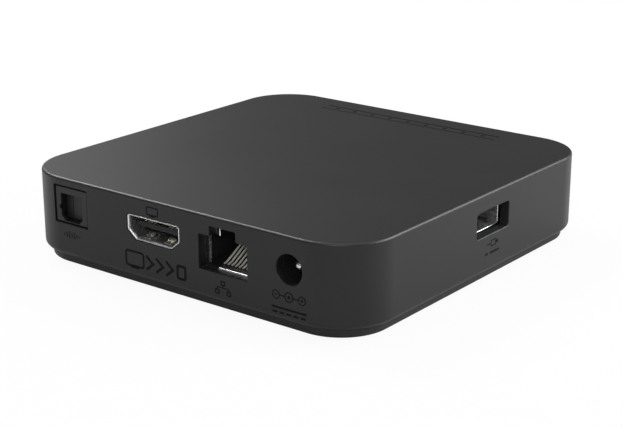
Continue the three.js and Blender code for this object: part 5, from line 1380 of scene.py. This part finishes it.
# ------------------------------------------------------------------ inside
def chip(name, node, leads=0):
    """A resin package with a pin-one dimple, and gull-wing leads along two sides if it has any."""
    low, high = extent(node)
    package = eased_slab(name, low, high, 0.12)
    dimple = turned("dimple", (
        (0.2, high.z - 0.12), (0.45, high.z - 0.04), (0.55, high.z + 0.2)),
        flat, low.x + 1.2, high.y - 1.2, 20)
    combine(package, dimple)
    finished(package, CHIP, [node])
    if not leads:
        return
    pitch = (high.y - low.y - 1.6) / (leads - 1)
    sides = []
    for x, way in ((low.x, -1), (high.x, 1)):
        path = bent([(x - way * 0.1, low.z + 0.5), (x + way * 0.3, low.z + 0.45),
                     (x + way * 0.38, low.z - 0.02), (x + way * 0.75, low.z - 0.03)], 0.08, 2)
        lead = ribbon("lead", path, 0.34, 0.12, lambda u, v, depth: Vector((depth, u, v)))
        sides.append(row("leads", lead, leads, (0, low.y + 0.8, 0), (0, pitch, 0)))
    finished(joined(name + "_leads", sides), CAN_STEEL)


SINK_FINS = 8
SINK_BASE = 1.5
FIN_SHEET = 1.0


def heat_sink():
    """An extruded sink: a base and tapered fins with rounded tips."""
    low, high = extent("heat_sink")
    base = eased_slab("sink_base", low, Vector((high.x, high.y, low.z + SINK_BASE)), 0.15)
    half = FIN_SHEET / 2
    root = low.z + SINK_BASE - 0.2
    outline = [(-half, root), (half, root), (half * 0.8, high.z - 0.25),
               (half * 0.45, high.z), (-half * 0.45, high.z), (-half * 0.8, high.z - 0.25)]
    fin = lofted("fin", [[Vector((u, y, v)) for u, v in offset(outline, grow)] for y, grow in (
        (low.y + 0.02, -0.08), (low.y + 0.1, 0), (high.y - 0.1, 0), (high.y - 0.02, -0.08))])
    step = (high.x - low.x - FIN_SHEET) / (SINK_FINS - 1)
    fins = row("fins", fin, SINK_FINS, (low.x + half, 0, 0), (step, 0, 0))
    combine(base, fins, "UNION")
    finished(base, SINK, ["heat_sink"])


def eased_slab(name, low, high, edge):
    middle = (low + high) / 2
    outline = rounded(high.x - low.x, high.y - low.y, CORNER_SHARE * edge, middle.x, middle.y, 4)
    return lofted(name, [ring(offset(outline, grow), flat, low.z + depth)
                         for depth, grow in eased_both(0, high.z - low.z, edge)])


def capacitors():
    """Rolled aluminium cans on square resin feet, with a pressed cross on top."""
    for i in (1, 2):
        low, high = extent(f"electrolytic_capacitor_{i}")
        x, y, radius = (low.x + high.x) / 2, (low.y + high.y) / 2, (high.x - low.x) / 2
        levels = [(radius - 0.25, low.z + 0.6), (radius - 0.03, low.z + 0.9), (radius - 0.03, low.z + 1.3),
                  (radius - 0.3, low.z + 1.6), (radius - 0.03, low.z + 1.9), (radius - 0.03, high.z - 0.45),
                  (radius - 0.15, high.z - 0.12), (radius - 0.45, high.z), (radius - 0.7, high.z - 0.12)]
        can = turned(f"capacitor_can_{i}", levels, flat, x, y, 48)
        for width, height in ((2.8, 0.18), (0.18, 2.8)):
            combine(can, sunk("score", rounded(width, height, 0.05, x, y, 2), flat,
                              ((high.z - 0.2, 0), (high.z + 0.3, 0))))
        finished(can, CAN_ALUMINIUM, [f"electrolytic_capacitor_{i}"])
        foot = eased_slab(f"capacitor_foot_{i}", low, Vector((high.x, high.y, low.z + 0.7)), 0.2)
        finished(foot, SOCKET)


CHIPS = (
    # name, CAD node, leads at each side
    ("processor_package", "processor_chip", 0), ("memory_package_1", "memory_chip_1", 0),
    ("memory_package_2", "memory_chip_2", 0), ("storage_package", "storage_chip", 0),
    ("power_package", "power_chip", 4), ("transformer_package", "network_transformer", 6),
)
SMALL_PARTS = (
    # count, first place, step
    (9, (-8, 21.5, 0), (1.9, 0, 0)), (8, (-9, -13.5, 0), (0, -1.7, 0)), (7, (37.5, 18, 0), (0, -3.4, 0)),
    (9, (18, -17, 0), (1.7, 0, 0)), (6, (-33, 5.5, 0), (2.2, 0, 0)), (7, (14.5, 24.0, 0), (1.5, 0, 0)),
)


def board_parts():
    """Chips, coils, cans and the rows of small parts between them."""
    for name, node, leads in CHIPS:
        chip(name, node, leads)
    for i in (1, 2):
        node = f"power_inductor_{i}"
        low, high = extent(node)
        coil = eased_slab(f"power_coil_{i}", low, high, 0.5)
        groove = eased_slab("groove", Vector((low.x + 1.6, low.y - 1, high.z - 0.25)),
                            Vector((low.x + 2.1, high.y + 1, high.z + 1)), 0.1)
        combine(coil, groove)
        finished(coil, CHIP, [node])
    for name, node, edge in (("wireless_can", "wireless_module", 0.3),
                             ("crystal_can", "clock_crystal", 0.35)):
        can = eased_slab(name, *extent(node), edge)
        finished(can, CAN_STEEL, [node])
    pad = eased_slab("thermal_pad_sheet", *extent("thermal_pad"), 0.2)
    finished(pad, PAD, ["thermal_pad"])
    for i in (1, 2):
        low, high = extent(f"wireless_aerial_{i}")
        aerial = eased_slab(f"aerial_board_{i}", low, high, 0.12)
        finished(aerial, BOARD, [f"wireless_aerial_{i}"])
    small = []
    for count, start, step in SMALL_PARTS:
        part = eased_slab("small_part", Vector((-0.4, -0.6, BOARD_TOP + 0.02)),
                          Vector((0.4, 0.6, BOARD_TOP + 0.5)), 0.08)
        small.append(row("small_parts", part, count, start, step))
    finished(joined("small_capacitors", small), PAD)


def lights_and_eyes():
    """The status light's emitter and the infrared receiver with its domed lens."""
    led = eased_slab("status_led_body", *extent("status_led"), 0.25)
    finished(led, CLEAR, ["status_led"])
    low, high = extent("infrared_receiver")
    eye = eased_slab("infrared_eye", low + Vector((0, 1.7, 0)), high - Vector((0, 1.6, 0)), 0.3)
    near = low.y + HALF_DEPTH
    dome = turned("dome", (
        (2.25, near + 2.2), (2.25, near + 1.2), (2.05, near + 0.7), (1.5, near + 0.3), (0.8, near + 0.08),
        (0.05, near)), on_front, (low.x + high.x) / 2, high.z - 2.6, 32)
    combine(eye, dome, "UNION")
    finished(eye, SOCKET, ["infrared_receiver"])


def reset_button():
    low, high = extent("reset_switch_body")
    switch = eased_slab("reset_switch_case", low, high, 0.2)
    well = turned("well", (
        (1.35, low.z - 0.5), (1.2, low.z + 0.1), (1.2, high.z - 1.5)), flat, *RESET, 28)
    combine(switch, well)
    finished(switch, SOCKET, ["reset_switch_body"])
    low, high = extent("reset_switch_plunger")
    levels = ((0.1, low.z), (0.65, low.z + 0.02), (0.85, low.z + 0.12), (0.9, low.z + 0.32), (0.9, high.z))
    plunger = turned("reset_plunger_cap", levels, flat, *RESET, 28)
    finished(plunger, RUBBER, ["reset_switch_plunger"], rides="reset_plunger")


top_cover()
bottom_cover()
feet()
screws()
rating_label()
front_pieces()
video_port()
network_jack()
power_jack()
accessory_port()
optical_port()
port_signs()
top_strip()
heat_sink()
capacitors()
board_parts()
lights_and_eyes()
reset_button()


# ------------------------------------------------------------------ stage, lights and camera
EYE_PLACE = (-0.2035, 0.2612, 0.1165)  # metres
EYE_AZIMUTH, EYE_ELEVATION, EYE_ROLL = 217.917, 18.256, -0.05  # degrees, from the front and upwards
EYE_LENS, EYE_SENSOR = 85.73, 36.0  # millimetres
FLOOR_HALF = 6.0
FLOOR_GREY = (0.45, 0.45, 0.45, 1)
FLOOR_LIFT = 0.94  # how far the floor is lifted to white as the camera sees it
FLOOR_GLOW = 0.15  # and as the player's surfaces see it
SKY_STRENGTH = 0.13  # as light on the player
SKY_SEEN = 1.05  # and as the camera sees it
LAMPS = [
    # name, place, aim, size, power in watts
    ("far_softbox", (0.75, -0.45, 0.32), (0.02, 0.02, 0.02), (0.4, 0.22), 0.22),
    ("side_softbox", (-0.75, -0.55, 0.42), (0, 0, 0.01), (0.8, 0.5), 15.5),
    ("overhead_softbox", (-0.1, 0.1, 1.2), (0, 0, 0), (1.2, 1.2), 8.6),
    ("rear_edge_softbox", (0.62, 0.33, 0.8), (0, 0, 0.02), (0.35, 0.35), 2.2),
    ("side_edge_softbox", (-0.32, -0.78, 0.62), (0, 0, 0.02), (0.35, 0.35), 2.7),
    ("left_floor_softbox", (0.5, -0.1, 0.5), (0.32, -0.1, 0), (0.3, 0.3), 5.0),
    ("socket_softbox", (-0.42, 0.72, 0.42), (0, 0.04, 0.015), (0.3, 0.3), 3.2),
]


def pale_floor():
    mesh = bpy.data.meshes.new("floor")
    mesh.from_pydata([(u, v, 0) for u, v in box_outline(2 * FLOOR_HALF, -FLOOR_HALF, FLOOR_HALF)], [],
                     [(0, 1, 2, 3)])
    floor = link(bpy.data.objects.new("floor", mesh))
    material = bpy.data.materials.new("pale_floor")
    material.use_nodes = True
    tree = material.node_tree
    tree.nodes.clear()
    clear = tree.nodes.new("ShaderNodeBsdfTransparent").outputs[0]
    behind = tree.nodes.new("ShaderNodeNewGeometry").outputs["Backfacing"]
    matt = add(tree, "ShaderNodeBsdfDiffuse", {"Color": FLOOR_GREY}).outputs[0]
    glow = add(tree, "ShaderNodeEmission", {"Color": (1, 1, 1, 1), "Strength": 1.0}).outputs[0]
    seen = add(tree, "ShaderNodeLightPath").outputs["Is Camera Ray"]
    lift = spread(tree, seen, FLOOR_GLOW, FLOOR_LIFT)
    lit = add(tree, "ShaderNodeMixShader", {0: lift, 1: matt, 2: glow}).outputs[0]
    mix = add(tree, "ShaderNodeMixShader", {0: behind, 1: lit, 2: clear})
    out = tree.nodes.new("ShaderNodeOutputMaterial")
    tree.links.new(mix.outputs[0], out.inputs["Surface"])
    mesh.materials.append(material)


def softbox(name, place, aim, size, power):
    light = bpy.data.lights.new(name, "AREA")
    light.shape = "RECTANGLE"
    light.size, light.size_y = size
    light.energy = power
    lamp = link(bpy.data.objects.new(name, light))
    lamp.location = place
    lamp.rotation_euler = (Vector(aim) - Vector(place)).to_track_quat("-Z", "Y").to_euler()


def studio():
    world = bpy.data.worlds.new("studio")
    scene.world = world
    world.use_nodes = True
    tree = world.node_tree
    tree.nodes.clear()
    dim = add(tree, "ShaderNodeBackground", {"Color": (1, 1, 1, 1), "Strength": SKY_STRENGTH}).outputs[0]
    white = add(tree, "ShaderNodeBackground", {"Color": (1, 1, 1, 1), "Strength": SKY_SEEN}).outputs[0]
    seen = add(tree, "ShaderNodeLightPath").outputs["Is Camera Ray"]
    mix = add(tree, "ShaderNodeMixShader", {0: seen, 1: dim, 2: white})
    tree.links.new(mix.outputs[0], tree.nodes.new("ShaderNodeOutputWorld").inputs["Surface"])
    for lamp in LAMPS:
        softbox(*lamp)


def camera():
    azimuth, elevation, roll = (math.radians(angle) for angle in (EYE_AZIMUTH, EYE_ELEVATION, EYE_ROLL))
    data = bpy.data.cameras.new("camera")
    data.lens = EYE_LENS
    data.sensor_width = EYE_SENSOR
    data.clip_start = 0.01
    eye = link(bpy.data.objects.new("camera", data))
    back = Vector((math.sin(azimuth) * math.cos(elevation), -math.cos(azimuth) * math.cos(elevation),
                   math.sin(elevation)))
    turn = back.to_track_quat("Z", "Y").to_matrix().to_4x4()
    eye.matrix_world = Matrix.Translation(EYE_PLACE) @ turn @ Matrix.Rotation(roll, 4, "Z")
    scene.camera = eye


pale_floor()
studio()
camera()
scene.view_settings.view_transform = "Standard"

for name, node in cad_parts.items():
    if node.data.materials:
        slot = node.data.materials[0].name
        for i in range(len(node.data.materials)):
            node.data.materials[i] = SLOT_MATERIALS.get(slot, CASE)
